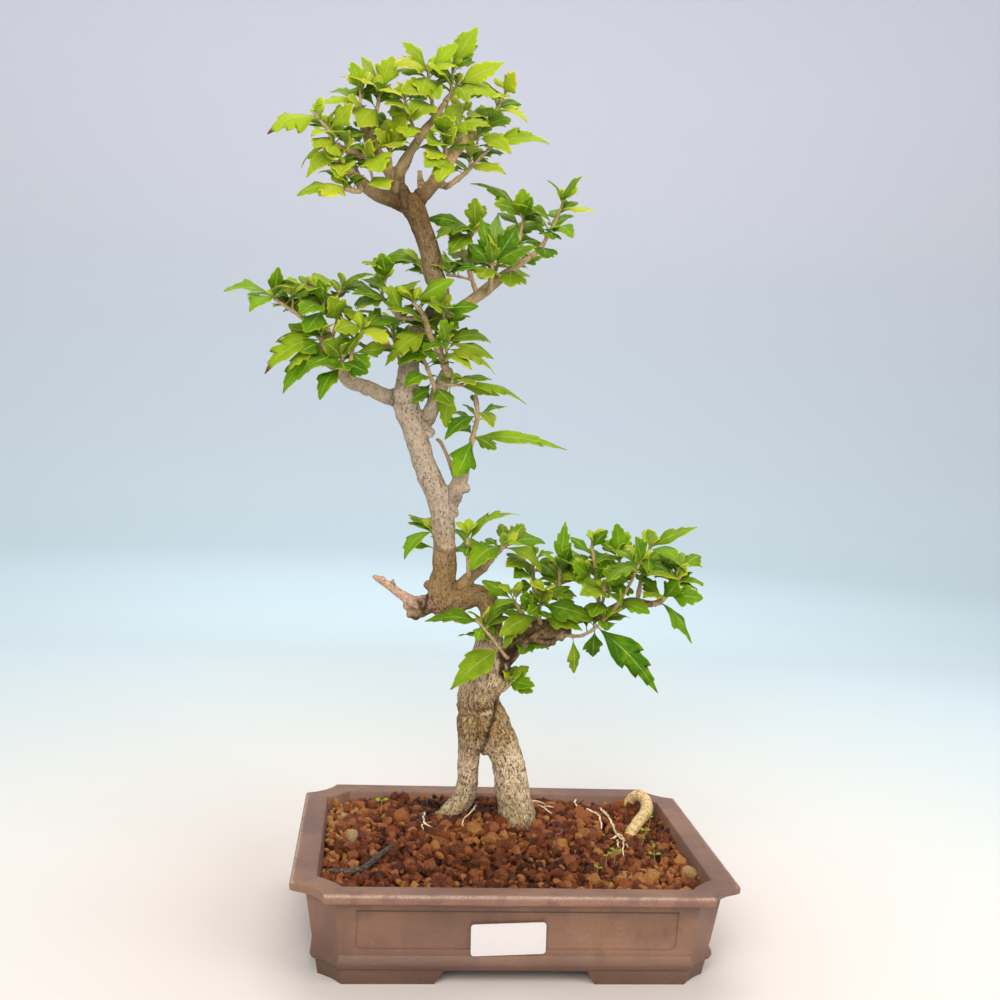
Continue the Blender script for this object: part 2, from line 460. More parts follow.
    "behind_trunk": ([[(-51, 60, 244, 1.2), (-53, 63, 252, 1), (-55, 64, 261, 0.8)]], [
        (0, 1, -71, 39, 241, UP, 50), (0, 0.24, -70, 35, 250, UP, 58), (0, 1, -59, 90, 268, UP, 65),
    ]),
    # The low leafy pad on the right.
    "pad_tip": ([
        [(98, 17, 221, 2.2), (103, 15, 224, 2), (107, 13, 230, 1.7), (112, 12, 238, 1.3)],
        [(109, 13, 233, 0.9), (114, 15, 244, 0.7)],
    ], [
        (0, 0.98, 87, -14, 245, UP, 70), (0, 0.54, 127, -4, 229, UP_FRONT, 70),
        (0, 0.2, 124, 7, 196, UP, 50), (0, 0.76, 129, 39, 233, UP, 87), (0, 0.92, 138, 38, 232, UP, 50),
        (1, 0.98, 131, 41, 249, UP, 65), (1, 0.97, 104, -11, 255, UP_FRONT, 55),
        (0, 0.41, 96, -10, 244, FRONT, 65), (0, 0.31, 95, 35, 235, FRONT, 55),
        (0, 0.3, 84, -11, 229, UP, 58),
    ]),
    "pad_right_back": ([
        [(88, 23, 223, 1.7), (90, 25, 236, 1.4), (93, 24, 249, 1.2), (94, 22, 259, 1.1)],
        [(90, 25, 236, 1.1), (100, 40, 240, 0.8)],
    ], [
        (0, 0.99, 125, 14, 276, UP_FRONT, 42), (0, 0.94, 108, -4, 253, UP, 64),
        (0, 0.88, 89, -3, 243, FRONT, 42), (1, 0.7, 89, 11, 252, FRONT, 65),
        (1, 0.88, 93, 62, 242, BACK, 60),
    ]),
    "pad_front_twig": ([[(70, 15, 216, 1.5), (74, 8, 227, 1.3), (79, 4, 239, 1.1), (83, 1, 251, 0.8)]], [
        (0, 1, 74, -22, 271, FRONT, 65), (0, 0.92, 56, -22, 240, UP, 64),
        (0, 0.59, 63, -21, 248, FRONT, 65), (0, 0.63, 84, 30, 244, FRONT, 55),
        (0, 0.2, 90, -7, 218, UP_FRONT, 68), (0, 0.24, 67, -16, 234, FRONT, 50),
    ]),
    "pad_top": ([
        [(64, 35, 211, 1.7), (62, 39, 226, 1.5), (59, 39, 246, 1.3), (56, 38, 258, 1.1)],
        [(62, 39, 225, 1.3), (56, 34, 232, 1.2), (52, 32, 241, 1.1)],
        [(62, 39, 222, 1.2), (67, 56, 233, 0.8)],
    ], [
        (0, 0.95, 63, 18, 271, FRONT, 45), (0, 0.76, 43, 51, 262, FRONT, 45),
        (1, 0.48, 40, 16, 248, FRONT, 62), (0, 0.44, 66, 21, 251, FRONT, 48),
        (0, 0.66, 56, 65, 247, BACK, 55),
    ]),
    "pad_top_right": ([[(79, 33, 217, 1.4), (79, 37, 231, 1.2), (76, 36, 249, 0.9)]], [
        (0, 1, 71, 28, 275, FRONT, 70), (0, 0.99, 66, 54, 261, FRONT, 45),
        (0, 0.99, 85, 57, 267, FRONT, 45), (0, 0.95, 54, 10, 249, UP, 65), (0, 0.95, 85, 10, 255, UP, 58),
    ]),
    "pad_left_back": ([
        [(39, 49, 202, 1.6), (38, 51, 217, 1.4), (37, 51, 228, 1.3), (36, 50, 240, 1.2)],
        [(38, 51, 218, 1.1), (38, 69, 223, 0.8)],
    ], [
        (0, 1, 38, 46, 274, FRONT, 42), (0, 0.95, 20, 26, 252, UP_FRONT, 55),
        (0, 0.95, 26, 32, 261, FRONT, 55), (0, 0.97, 56, 76, 246, UP, 50),
        (0, 0.85, 43, 28, 235, FRONT, 55), (0, 0.9, 42, 25, 245, UP, 72),
    ]),
    "pad_left_upright": ([
        [(22, 59, 195, 1.6), (21, 64, 214, 1.4), (19, 64, 232, 1.2), (18, 62, 246, 1)],
        [(21, 62, 207, 1), (22, 69, 190, 1), (21, 64, 182, 0.8)],
    ], [
        (0, 0.79, -4, 37, 241, UP, 64), (0, 0.57, 2, 38, 233, UP, 72), (0, 0.57, 32, 38, 230, UP, 72),
        (0, 0.54, 4, 43, 225, FRONT, 45), (0, 0.67, 30, 90, 234, BACK, 55), (1, 1, 10, 38, 179, UP, 72),
        (1, 1, 30, 90, 174, UP, 72),
    ]),
    "pad_front": ([[(22, 41, 204, 1.6), (21, 36, 211, 1.3), (21, 33, 219, 1)]], [
        (0, 0.76, 58, 20, 207, UP_FRONT, 55), (0, 0.21, 50, 23, 200, UP_FRONT, 55),
        (0, 0.98, 10, 7, 233, UP, 72), (0, 0.98, 46, 59, 220, UP, 72), (0, 0.86, 5, 14, 224, FRONT, 55),
        (0, 0.75, 9, 8, 213, FRONT, 50), (0, 0.2, -8, 24, 194, UP_FRONT, 55),
        (0, 0.76, 26, 13, 227, FRONT, 50), (0, 0.4, 23, 11, 210, FRONT, 60),
    ]),
    "pad_left_stub": ([[(14, 43, 201, 1.4), (11, 39, 206, 1.3), (2, 37, 218, 1.2)]], [
        (0, 0.96, -20, 41, 230, FRONT, 60), (0, 0.67, -5, 34, 183, FRONT, 36),
        (0, 0.84, -12, 12, 216, UP, 50), (0, 0.63, -1, 64, 205, UP, 72), (0, 0.7, 7, 12, 225, FRONT, 50),
    ]),
    "pad_hanging": ([[(39, 38, 194, 1.4), (49, 28, 195, 1.2), (57, 21, 201, 1.1), (63, 17, 208, 0.9)]], [
        (0, 0.81, 103, 10, 160, FRONT, 37), (0, 0.72, 62, 42, 178, FRONT, 50),
        (0, 0.97, 61, -9, 206, FRONT, 60), (0, 0.2, 48, 36, 167, FRONT, 44),
    ]),
    "pad_middle": ([[(62, 24, 215, 1.4), (63, 20, 222, 1.2), (63, 19, 228, 1)]], [
        (0, 0.8, 42, -7, 229, UP, 65), (0, 0.94, 62, -7, 236, FRONT, 55), (0, 0.68, 70, -6, 225, UP, 65),
        (0, 0.31, 51, -4, 214, UP, 65), (0, 0.82, 71, -7, 230, UP, 65), (0, 0.89, 55, 45, 231, FRONT, 50),
    ]),
    # Shoots at the knee of the trunk.
    "front_left_shoot": ([[(-1, 38, 177, 1.3), (-11, 31, 190, 1.1), (-21, 28, 201, 0.9)]], [
        (0, 0.99, -60, 22, 203, UP, 50), (0, 0.25, -40, 22, 156, UP_FRONT, 57),
        (0, 0.91, -25, 3, 194, FRONT, 40), (0, 0.95, -11, 53, 199, FRONT, 40),
    ]),
    "knee_shoot": ([[(-3, 47, 150, 1.3), (4, 44, 156, 0.9)]], [
        (0, 1, 18, 18, 161, UP_FRONT, 55), (0, 1, 8, 18, 155, FRONT, 45), (0, 0.97, 12, 66, 163, FRONT, 40),
    ]),
    # Shoots behind, whose leaves all follow the rule.
    "back_crown_left": ([[(-114, 43, 500, 1.6), (-121, 49, 513, 1.3), (-127, 57, 530, 0.9)]], []),
    "back_crown_mid": ([[(-98, 55, 515, 1.6), (-96, 70, 536, 1.3), (-95, 83, 561, 0.9)]], []),
    "back_crown_right": ([[(-57, 59, 520, 1.6), (-51, 77, 539, 1.3), (-46, 94, 563, 0.9)]], []),
    "back_left": ([[(-123, 41, 371, 1.6), (-124, 53, 385, 1.3), (-121, 66, 407, 0.9)]], []),
    "back_right": ([[(-24, 67, 436, 1.6), (-16, 83, 454, 1.3), (-10, 97, 477, 0.9)]], []),
    "back_centre": ([[(-77, 60, 374, 1.6), (-85, 72, 385, 1.3), (-90, 82, 404, 0.9)]], []),
}

# Sawn or broken ends that show pale wood: limb and how far the bare wood reaches, in millimetres
CUT_ENDS = [
    ("knob", 3.6), ("cut_stub", 4.5), ("crown_left", 3.4), ("crown_left_up", 2.8), ("left_limb", 2.4),
    ("dead_stub", 5),
]
# How much bark some limbs have lost, and how dark and rough others are, from 0 to 1
BARE_LIMBS = {"dead_stub": 1, "stub_sprig": 1, "dead_twig": 0.25, "knob": 0.3}
STAINED_LIMBS = {
    "pad_limb": 0.85, "cut_stub": 0.9, "knob": 0.45, "dead_stub": 0.15, "crown_side": 0.4, "dead_twig": 0.5,
}
# The bark's colour by height: height in metres, then its shares of the pale bark's red, green and blue
BARK_TONES = [
    (0.05, 1.14, 1.11, 1.05), (0.1, 1.18, 1.15, 1.08), (0.122, 0.58, 0.47, 0.28), (0.14, 0.56, 0.45, 0.27),
    (0.155, 1.13, 1.06, 0.94), (0.185, 1.0, 0.93, 0.8), (0.2, 0.4, 0.32, 0.19), (0.237, 0.4, 0.32, 0.19),
    (0.248, 0.5, 0.43, 0.32), (0.272, 0.62, 0.61, 0.66), (0.36, 0.64, 0.65, 0.7), (0.44, 0.38, 0.36, 0.27),
    (0.475, 0.19, 0.13, 0.065), (0.495, 0.22, 0.155, 0.08), (0.515, 1.0, 0.82, 0.52),
    (0.62, 1.0, 0.82, 0.52),
]

# Colour of the floor by its distance from the pot in metres: pale, and bluish where it starts to rise
FLOOR_TONES = [
    (0.2, 0.7, 0.655, 0.625), (0.44, 0.7, 0.72, 0.71), (0.67, 0.66, 0.74, 0.76), (1, 0.635, 0.77, 0.835),
    (1.5, 0.58, 0.72, 0.775), (2.36, 0.61, 0.73, 0.775), (2.75, 0.625, 0.73, 0.77),
    (3.2, 0.63, 0.705, 0.755), (3.58, 0.665, 0.704, 0.745), (3.82, 0.725, 0.72, 0.765),
    (4.2, 0.745, 0.73, 0.785),
]

# Leaves that differ from their neighbours: shoot and number of the leaf, then yellow, deep green, brown tip
TINTS = {
    ("crown_left_tip", 0): (0.3, 0.1, 0.98),
    ("crown_right_tip", 0): (0.7, 0, 0),
    ("crown_mid", 7): (0.6, 0, 0),
    ("crown_low_stub", 1): (0.6, 0.1, 0),
    ("left_long_leaves", 0): (0.2, 0.3, 1.0),
    ("left_brown_tips", 1): (0.2, 0.3, 1.0),
    ("left_yellow", 2): (0.5, 0.1, 0.98),
    ("right_tip", 2): (0.5, 0, 0),
    ("pad_hanging", 0): (0, 1, 0),
    ("pad_hanging", 1): (0, 0.9, 0),
}
# Shoots whose leaves are all of the deep green
SHADED = ("right_front", "right_back_left", "left_front", "back_left", "back_right", "back_centre")

# Twigs whose ends stay where their leaves start: shoot and number of the twig
HIDDEN_ENDS = (("crown_top", 0), ("right_tip", 0), ("left_tip", 0))

# Swellings and branch scars on the trunk as (x, y, z, radius)
KNOBS = [
    (-57, 48, 224.5, 4.2), (-55, 47, 217.5, 4), (-61, 46, 332, 3.8), (-66, 48, 300, 2.8),
    (-34, 49, 294, 3.4), (-41.5, 49, 277, 3.6), (-68, 48, 212, 4), (-72, 50, 209, 3), (-61, 48, 206, 4.4),
    (-69, 49, 203, 3.2), (-64, 46.5, 209, 2.6), (-58, 48, 211, 4.6), (-65.5, 50, 202, 3.6),
    (-82, 50, 222.5, 2.2), (-90, 51, 227, 2.9), (-46, 49, 252, 7.4), (-2, 46, 170, 7), (-49, 50, 212, 9),
    (32, 46, 194, 7.4), (41, 42, 196, 5), (24, 47, 190, 5.6), (-80, 47, 357, 8.2), (-106, 44, 361, 5.8),
    (-78, 49, 484, 7.8), (-22, 52, 137, 10.8), (-3, 50, 126, 9.6), (-12, 50, 109, 6), (27, 44, 187, 3),
    (33, 43, 187, 2.4), (30, 46, 184.5, 2), (1, 45, 168, 4), (-1, 44, 176, 3.6), (5, 46, 180, 4.4),
    (-94, 47, 491, 5.2), (-75, 49, 492, 5), (-70, 50, 405, 6.4), (-58, 54, 420, 7.6), (12, 45, 184, 4),
    (18, 44, 191, 4.4), (24, 43, 192, 3.6), (39, 43, 190, 2.2), (36, 41, 193, 2.6), (-2, 44, 170, 2.6),
    (3, 45, 173, 3),
]

# Lines pressed into or raised on the bark: width, rise, darkness (below 0 a pale scar), then their points
MARKS = [
    (1.6, -1.4, 1, (-63, 46, 213), (-62, 46, 209)), (1.6, -0.7, 0.9, (-68, 48, 201), (-64, 48, 200.5)),
    (1.4, -1.5, 1, (-59, 45, 219), (-58.5, 45, 213), (-60, 45, 205)),
    (3, -1.6, 1, (1, 41, 179), (3, 41, 177)),
    (1.6, -1.4, 1, (-4.5, 42, 179), (-3, 42, 170), (-0.5, 42, 161)),
    (1.4, -1.2, 1, (5, 42, 169), (1, 42, 161)),
    (1.6, -1.6, 1, (-14, 42, 106), (-12, 40, 115), (-10, 39, 125), (-6.5, 39, 135), (-5, 40, 143)),
    (2, -1.4, 0.9, (-5, 40, 141), (-2, 41, 145)),
    (1.3, -0.9, 0.85, (-34, 43, 139), (-27, 39, 137.5), (-19, 37.5, 137), (-10, 39, 139)),
    (1.3, 0.7, -0.9, (-34, 43, 135.8), (-27, 38, 134.8), (-19, 37, 134), (-10, 39, 136)),
    (1.3, -1, 0.9, (-35, 46, 108.5), (-30, 44, 106.5), (-22, 44, 107), (-15, 44, 106)),
    (1.1, -0.8, 0.8, (-34, 47, 102), (-25, 46, 99.5), (-18, 46, 98.7)),
    (2.2, -1, 1, (-4, 42, 164), (-3, 42, 170), (0, 42, 176), (4, 43, 181)),
    (2.4, -0.8, 1, (2, 43, 163), (4, 43, 168), (3, 43, 174), (8, 44, 184)),
    (0.9, -1, 1, (22, 42, 190), (28, 41, 189), (34, 41, 191)), (1, -1, 0.8, (12, 42, 190), (20, 41, 196)),
    (1.4, 1, -0.45, (-51, 42, 254), (-46.5, 39, 252), (-39, 42, 253)),
]

# What lies on the soil. Places are (x, y) or (x, y, lift) on the level SEEN_LEVEL.
WHITE_ROOTS = [
    [(31, 68), (36, 61), (40, 46)], [(35, 62), (39, 65), (44, 62)],
    [(22, 78, 12), (33, 76, 10), (38, 66, 1)], [(63, 84), (60, 74), (61, 62)],
    [(67, 60), (73, 47), (72, 30), (70, 17)], [(77, 63), (80, 41), (79, 9), (81, -7), (83, -28)],
    [(80, 6), (76, 0), (72, -3)], [(80, 8), (82, -1), (78, -20), (75, -39)], [(77, -6), (74, -24)],
    [(-53, 46), (-54, 34), (-53, 22), (-48, 14)], [(-53, 24), (-56, 18), (-55, 10)],
    [(-14, 68), (-19, 50), (-26, 34), (-27, 19)],
]
RED_STEMS = [[(31, 20), (34, 27), (37, 30), (42, 32)], [(39, 16), (41, 10), (36, 1), (34, -12), (35, -28)]]
SEEDLINGS = [
    (91, -18, 10), (93, -51, 10), (66, -50, 6), (59, -58, 6), (49, -79, 6), (-84, 42, 7), (104, 20, 6),
]
# Lumps larger than the grains: x, y, radius, tone from dark to pale
LUMPS = [
    (60, 38, 7, 0.5), (36, -16, 6, 0.85), (-103, -9, 5.6, 1), (-68, 32, 6.6, 0.5), (-126, 36, 5, 0.9),
    (-130, 2, 5.5, 0.85), (-128, -22, 5.5, 0.9), (110, -46, 5, 0.85), (84, -76, 6, 0.8),
    (64, -80, 5.5, 0.85), (118, 13, 4, 0.0), (3, 30, 6, 0.25), (-6, 16, 5.2, 0.55), (25, 18, 5, 0.6),
    (-38, 22, 5, 0.6), (-74, 74, 5.5, 0.2), (95, 63, 7.5, 0.5), (101, 62, 5.6, 0.35), (89, 62, 5.6, 0.45),
    (-129, 46, 5.4, 0.9), (-129, 30, 5, 0.95), (-126, 56, 5.2, 0.85), (-116, 62, 5, 0.8),
    (-130, -42, 5, 0.9), (112, -66, 5.2, 0.95), (-20, 8, 5.4, 0.75), (-11, -6, 5, 0.7),
]
# Patches whose grains are paler or darker: x, y, reach, change of tone
TONE_PATCHES = [
    (-128, 20, 24, 0.44), (-120, 70, 22, 0.36), (-128, -30, 18, 0.38), (-22, 2, 26, 0.22),
    (104, -50, 32, 0.16), (70, -82, 26, 0.22), (60, 50, 34, 0.04), (-45, 80, 24, -0.3), (-24, 58, 15, -0.4),
    (-2, 62, 12, -0.4), (-4, -30, 42, -0.06), (-60, -10, 36, -0.04), (40, -60, 40, -0.06),
    (118, 40, 20, -0.1), (-90, -60, 26, -0.05),
]

# Circles that the grains keep out of, where wood enters the soil: x, y, radius
KEPT_CLEAR = [(16, 47, 12.5), (-26, 62, 8), (-34, 62, 8), (-42, 61, 6), (101, 83, 4), (90, 20, 4)]

# Bark, in millimetres
BARK_SEED = 12  # of the noise that shifts the plates, so that each run gives the same bark
LIMB_SPAN = 700  # what each limb's place along is raised by, so that their patterns differ
LIMB_LEAD = 0.3 * LIMB_SPAN  # a limb's places reach half a span to both sides of this one
THIN_LIMB = 9  # a limb under this radius has a wrinkled collar where it starts
MARK_REACH = 30  # how far from a mark's middle the bark feels it
MARK_STRETCH = (1, 0.3, 1)  # a mark's points needn't lie on the bark, so their depth counts for less
POINTS_AT_ONCE = 4000
TWIG_DETAIL = 0.0005  # size of the fallen twig's faces, in metres


def chance(a, b, c=0):
    """A repeatable random number from 0 to 1 for a numbered thing."""
    value = math.sin(a * 127.1 + b * 311.7 + c * 74.7) * 43758.5453
    return value - math.floor(value)


def luck_length(span, luck):
    """A length from the least one and what luck, from 0 to 1, adds to it."""
    least, more = span
    return least + more * luck


def spot(x, y, z):
    """A place given in millimetres from the middle of the pot, in metres in the frame."""
    return Vector((x * MM, y * MM, z * MM)) + SHIFT


def in_millimetres(rows):
    """Places in the frame as millimetres from the middle of the pot."""
    return (rows - np.array(SHIFT)) / MM


def scaled(colour, *factors):
    """A colour whose red, green and blue are multiplied by one factor, or by one each."""
    return tuple(c * f for c, f in zip(colour, factors * (3 // len(factors))))


def soil_level(x, y):
    """Level of the soil in millimetres: mounded round the tree, with a hollow at each of its feet."""
    reach_x, reach_y = MOUND_REACH
    mound = math.exp(-(((x - TREE_FOOT[0]) / reach_x) ** 2) - ((y - TREE_FOOT[1]) / reach_y) ** 2)
    level = SOIL_EDGE + SOIL_RISE * mound
    for foot_x, foot_y, reach, depth in FOOT_HOLLOWS:
        level -= depth * math.exp(-(((x - foot_x) / reach) ** 2) - ((y - foot_y) / reach) ** 2)
    return level


def on_soil(x, y, lift):
    """The place on the soil that the viewer sees at (x, y) on the level SEEN_LEVEL, raised by lift."""
    eye = Vector(CAMERA_SPOT) / MM
    far = Vector((x, y, SEEN_LEVEL)) - eye
    place = eye + far
    for _ in range(4):
        height = soil_level(place.x, place.y) + GRAIN_TOP + lift
        place = eye + far * ((eye.z - height) / (eye.z - SEEN_LEVEL))
    return place


def inside_pot(x, y, inset):
    """True where a place lies inside the rim's outline moved in by inset."""
    if abs(x) > POT_HALF_LENGTH - inset or abs(y) > POT_HALF_DEPTH - inset:
        return False
    away = math.hypot(POT_HALF_LENGTH + CORNER_CENTRE - abs(x), POT_HALF_DEPTH + CORNER_CENTRE - abs(y))
    return away > CORNER_RADIUS + inset


def deselect():
    """Leaves edit mode and clears the selection."""
    if bpy.context.object and bpy.context.object.mode != "OBJECT":
        bpy.ops.object.mode_set(mode="OBJECT")
    bpy.ops.object.select_all(action="DESELECT")


def pick(*things):
    """Selects only these objects; the first is the active one."""
    deselect()
    for thing in things:
        thing.select_set(True)
    bpy.context.view_layer.objects.active = things[0]
    return things[0]


def new_object(name, data):
    """An object at the origin that holds a mesh, curve, lamp or camera, linked to the scene."""
    made = bpy.data.objects.new(name, data)
    bpy.context.scene.collection.objects.link(made)
    return made


def joined(name, things):
    """The objects joined into one, renamed."""
    pick(*things)
    if len(things) > 1:
        bpy.ops.object.join()
    whole = bpy.context.object
    whole.name = name
    whole.data.name = name
    return whole


def apply_modifier(thing, kind, **settings):
    """Adds a modifier and applies it."""
    pick(thing)
    modifier = thing.modifiers.new(kind.title(), kind)
    for key, value in settings.items():
        setattr(modifier, key, value)
    bpy.ops.object.modifier_apply(modifier=modifier.name)
    return thing


def smooth(thing, degrees):
    """Smooth shading that keeps the edges sharper than the angle."""
    pick(thing)
    bpy.ops.object.shade_smooth_by_angle(angle=math.radians(degrees))


def finished(thing, materials, nodes=()):
    """Gives a piece its materials, its body and the nodes it stands for."""
    for material in materials:
        if material.name not in thing.data.materials:
            thing.data.materials.append(material)
    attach(thing, BODY)
    if nodes:
        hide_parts(*nodes)
    return thing


def cad_copy(node, name):
    """A copy of a CAD node's mesh with its doubles merged."""
    made = new_object(name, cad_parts[node].data.copy())
    made.data.materials.clear()
    pick(made)
    bpy.ops.object.mode_set(mode="EDIT")
    bpy.ops.mesh.select_all(action="SELECT")
    bpy.ops.mesh.remove_doubles(threshold=0.00001)
    bpy.ops.mesh.dissolve_limited(angle_limit=math.radians(0.5))
    bpy.ops.object.mode_set(mode="OBJECT")
    return made


def numbers(mesh, name, values):
    """Writes one number or vector per vertex as a named attribute."""
    values = np.asarray(values, np.float32)
    kind, key = ("FLOAT", "value") if values.ndim == 1 else ("FLOAT_VECTOR", "vector")
    mesh.attributes.new(name, kind, "POINT").data.foreach_set(key, values.ravel())


def places(mesh):
    """The vertices' places as an array with one row each."""
    found = np.empty(len(mesh.vertices) * 3)
    mesh.vertices.foreach_get("co", found)
    return found.reshape(-1, 3)


def put(mesh, rows):
    """Moves the vertices to the rows of an array."""
    mesh.vertices.foreach_set("co", np.asarray(rows, float).ravel())
    mesh.update()


def eased(route, step):
    """A route's points joined by a smooth curve, about step apart: places and radii."""
    points = [np.array(p, float) for p in route]
    points = [2 * points[0] - points[1], *points, 2 * points[-1] - points[-2]]
    rows = []
    for a, b, c, d in zip(points, points[1:], points[2:], points[3:]):
        count = max(1, round(np.linalg.norm((c - b)[:3]) / step))
        for k in range(count):
            t = k / count
            bend = 2 * a - 5 * b + 4 * c - d
            rows.append(0.5 * (2 * b + (c - a) * t + bend * t**2 + (3 * b - a - 3 * c + d) * t**3))
    rows.append(points[-2])
    return np.array(rows)


def tube(name, rows, roundness):
    """A closed tube along rows of (x, y, z, radius) in millimetres, made with a curve."""
    curve = bpy.data.curves.new(name, "CURVE")
    curve.dimensions = "3D"
    curve.bevel_depth = MM
    curve.bevel_resolution = roundness
    curve.use_fill_caps = True
    spline = curve.splines.new("POLY")
    spline.points.add(len(rows) - 1)
    for point, (x, y, z, radius) in zip(spline.points, rows):
        point.co = (*spot(x, y, z), 1)
        point.radius = radius
    pick(new_object(name, curve))
    bpy.ops.object.convert(target="MESH")
    return bpy.context.object


class Wire:
    """A value or colour in a material, whose arithmetic adds Math nodes."""

    def __init__(self, recipe, socket):
        self.recipe = recipe
        self.socket = socket

    def calculate(self, operation, first, second=0.0):
        """Adds a Math node."""
        return self.recipe.node("ShaderNodeMath", {"operation": operation}, {0: first, 1: second})

    def __add__(self, other):
        return self.calculate("ADD", self, other)

    def __radd__(self, other):
        return self.calculate("ADD", other, self)

    def __sub__(self, other):
        return self.calculate("SUBTRACT", self, other)

    def __rsub__(self, other):
        return self.calculate("SUBTRACT", other, self)

    def __mul__(self, other):
        return self.calculate("MULTIPLY", self, other)

    def __rmul__(self, other):
        return self.calculate("MULTIPLY", other, self)

    def __abs__(self):
        return self.calculate("ABSOLUTE", self)


class Recipe:
    """A material with one Principled shader, built node by node."""

    def __init__(self, name, **constants):
        self.material = bpy.data.materials.new(name)
        self.material.use_nodes = True
        self.tree = self.material.node_tree
        self.shader = self.tree.nodes["Principled BSDF"]
        for key, value in constants.items():
            self.shader.inputs[key.replace("_", " ").title().replace("Ior", "IOR")].default_value = value

    def node(self, kind, settings=None, inputs=None, output=0):
        """Adds a node; settings come first, and inputs are values or wires by name or number."""
        made = self.tree.nodes.new(kind)
        for key, value in (settings or {}).items():
            if key == "stops":
                self.stops(made.color_ramp, value)
            else:
                setattr(made, key, value)
        for key, value in (inputs or {}).items():
            self.feed(made.inputs[key], value)
        return Wire(self, made.outputs[output])

    def stops(self, ramp, stops):
        """Sets a ramp's stops, given as (position, colour)."""
        while len(ramp.elements) < len(stops):
            ramp.elements.new(1)
        for element, (position, colour) in zip(ramp.elements, stops):
            element.position = position
            element.color = (*colour, 1)

    def feed(self, socket, value):
        """Links a wire to a socket, or sets the socket's value."""
        if isinstance(value, Wire):
            self.tree.links.new(value.socket, socket)
        elif hasattr(value, "__len__") and len(value) == 3 and socket.type == "RGBA":
            socket.default_value = (*value, 1)
        else:
            socket.default_value = value

    def place(self):
        """Object coordinates, in metres."""
        return self.node("ShaderNodeTexCoord", output="Object")

    def attribute(self, name, output="Fac"):
        """A named number or vector of the piece."""
        return self.node("ShaderNodeAttribute", {"attribute_name": name}, output=output)

    def parts(self, vector):
        """The three numbers of a vector."""
        first = self.node("ShaderNodeSeparateXYZ", None, {0: vector})
        outputs = first.socket.node.outputs
        return first, Wire(self, outputs[1]), Wire(self, outputs[2])

    def grain(self, scale, detail=3.0, vector=None, rough=0.5):
        """Soft noise from 0 to 1."""
        inputs = {"Scale": scale, "Detail": detail, "Roughness": rough, "Vector": vector or self.place()}
        return self.node("ShaderNodeTexNoise", None, inputs)

    def cells(self, scale, vector):
        """Distance to the nearest of scattered points."""
        inputs = {"Scale": scale, "Vector": vector}
        return self.node("ShaderNodeTexVoronoi", {"feature": "F1"}, inputs, "Distance")

    def stretched(self, vector, scale):
        """A vector whose parts are multiplied one by one."""
        return self.node("ShaderNodeMapping", None, {"Vector": vector, "Scale": scale})

    def warped(self, vector, scale, amount):
        """A vector pushed about by soft noise, by up to half the amount."""
        inputs = {"Scale": scale, "Detail": 2, "Vector": vector}
        cloud = self.node("ShaderNodeTexNoise", None, inputs, "Color")
        push = self.node("ShaderNodeVectorMath", {"operation": "SUBTRACT"}, {0: cloud, 1: (0.5, 0.5, 0.5)})
        push = self.node("ShaderNodeVectorMath", {"operation": "SCALE"}, {0: push, "Scale": amount})
        return self.node("ShaderNodeVectorMath", {"operation": "ADD"}, {0: vector, 1: push})

    def clamped(self, value):
        """A number held between 0 and 1."""
        return self.node("ShaderNodeClamp", None, {0: value})

    def rise(self, value, low, high):
        """0 below low, 1 above high, eased between."""
        inputs = {"Value": value, "From Min": low, "From Max": high}
        return self.node("ShaderNodeMapRange", {"interpolation_type": "SMOOTHSTEP"}, inputs)

    def blend(self, share, first, second):
        """A colour between two, or wires of colours."""
        return self.node("ShaderNodeMix", {"data_type": "RGBA"}, {0: share, 6: first, 7: second}, 2)

    def finish(self, colour, roughness, height=None, distance=0.0):
        """Joins colour, roughness and relief to the shader; distance is the relief's depth in metres."""
        self.feed(self.shader.inputs["Base Color"], colour)
        self.feed(self.shader.inputs["Roughness"], roughness)
        if height is not None:
            inputs = {"Height": height, "Distance": distance, "Strength": 1}
            self.feed(self.shader.inputs["Normal"], self.node("ShaderNodeBump", None, inputs))
        return self.material


class StageSettings(bpy.types.PropertyGroup):
    """Light of the studio"""

    backdrop_colour: FloatVectorProperty(
        name="Backdrop lamp's colour", description="Colour of the lamp that lights the backdrop",
        subtype="COLOR", default=(0.69, 0.71, 0.77),
    )
    lamp_colour: FloatVectorProperty(
        name="Lamps", description="Colour of the soft lamps", subtype="COLOR", default=(1.0, 0.945, 0.88)
    )
    air_colour: FloatVectorProperty(
        name="Surroundings", description="Colour of the light from all round", subtype="COLOR",
        default=(0.86, 0.87, 0.88),
    )
    backdrop_power: FloatProperty(
        name="Backdrop lamp", description="Power of the lamp that lights the backdrop", default=30, min=0,
        unit="POWER",
    )
    air_strength: FloatProperty(
        name="Surrounding light", description="Strength of the light from all round", default=0.42, min=0
    )
    lamp_power: FloatProperty(
        name="Lamp power", description="Power of the main soft lamp", default=38, min=0, unit="POWER"
    )


class PotSettings(bpy.types.PropertyGroup):
    """Clay and edges of the pot"""

    clay_colour: FloatVectorProperty(
        name="Clay", description="Colour of the bare clay", subtype="COLOR", default=(0.209, 0.109, 0.07)
    )
    pale_fleck: FloatVectorProperty(
        name="Pale flecks", description="Colour of the sand in the clay", subtype="COLOR",
        default=(0.52, 0.42, 0.35),
    )
    edge_round: FloatProperty(
        name="Edge rounding", description="Radius of the worn edges", default=0.0007, min=0, unit="LENGTH"
    )


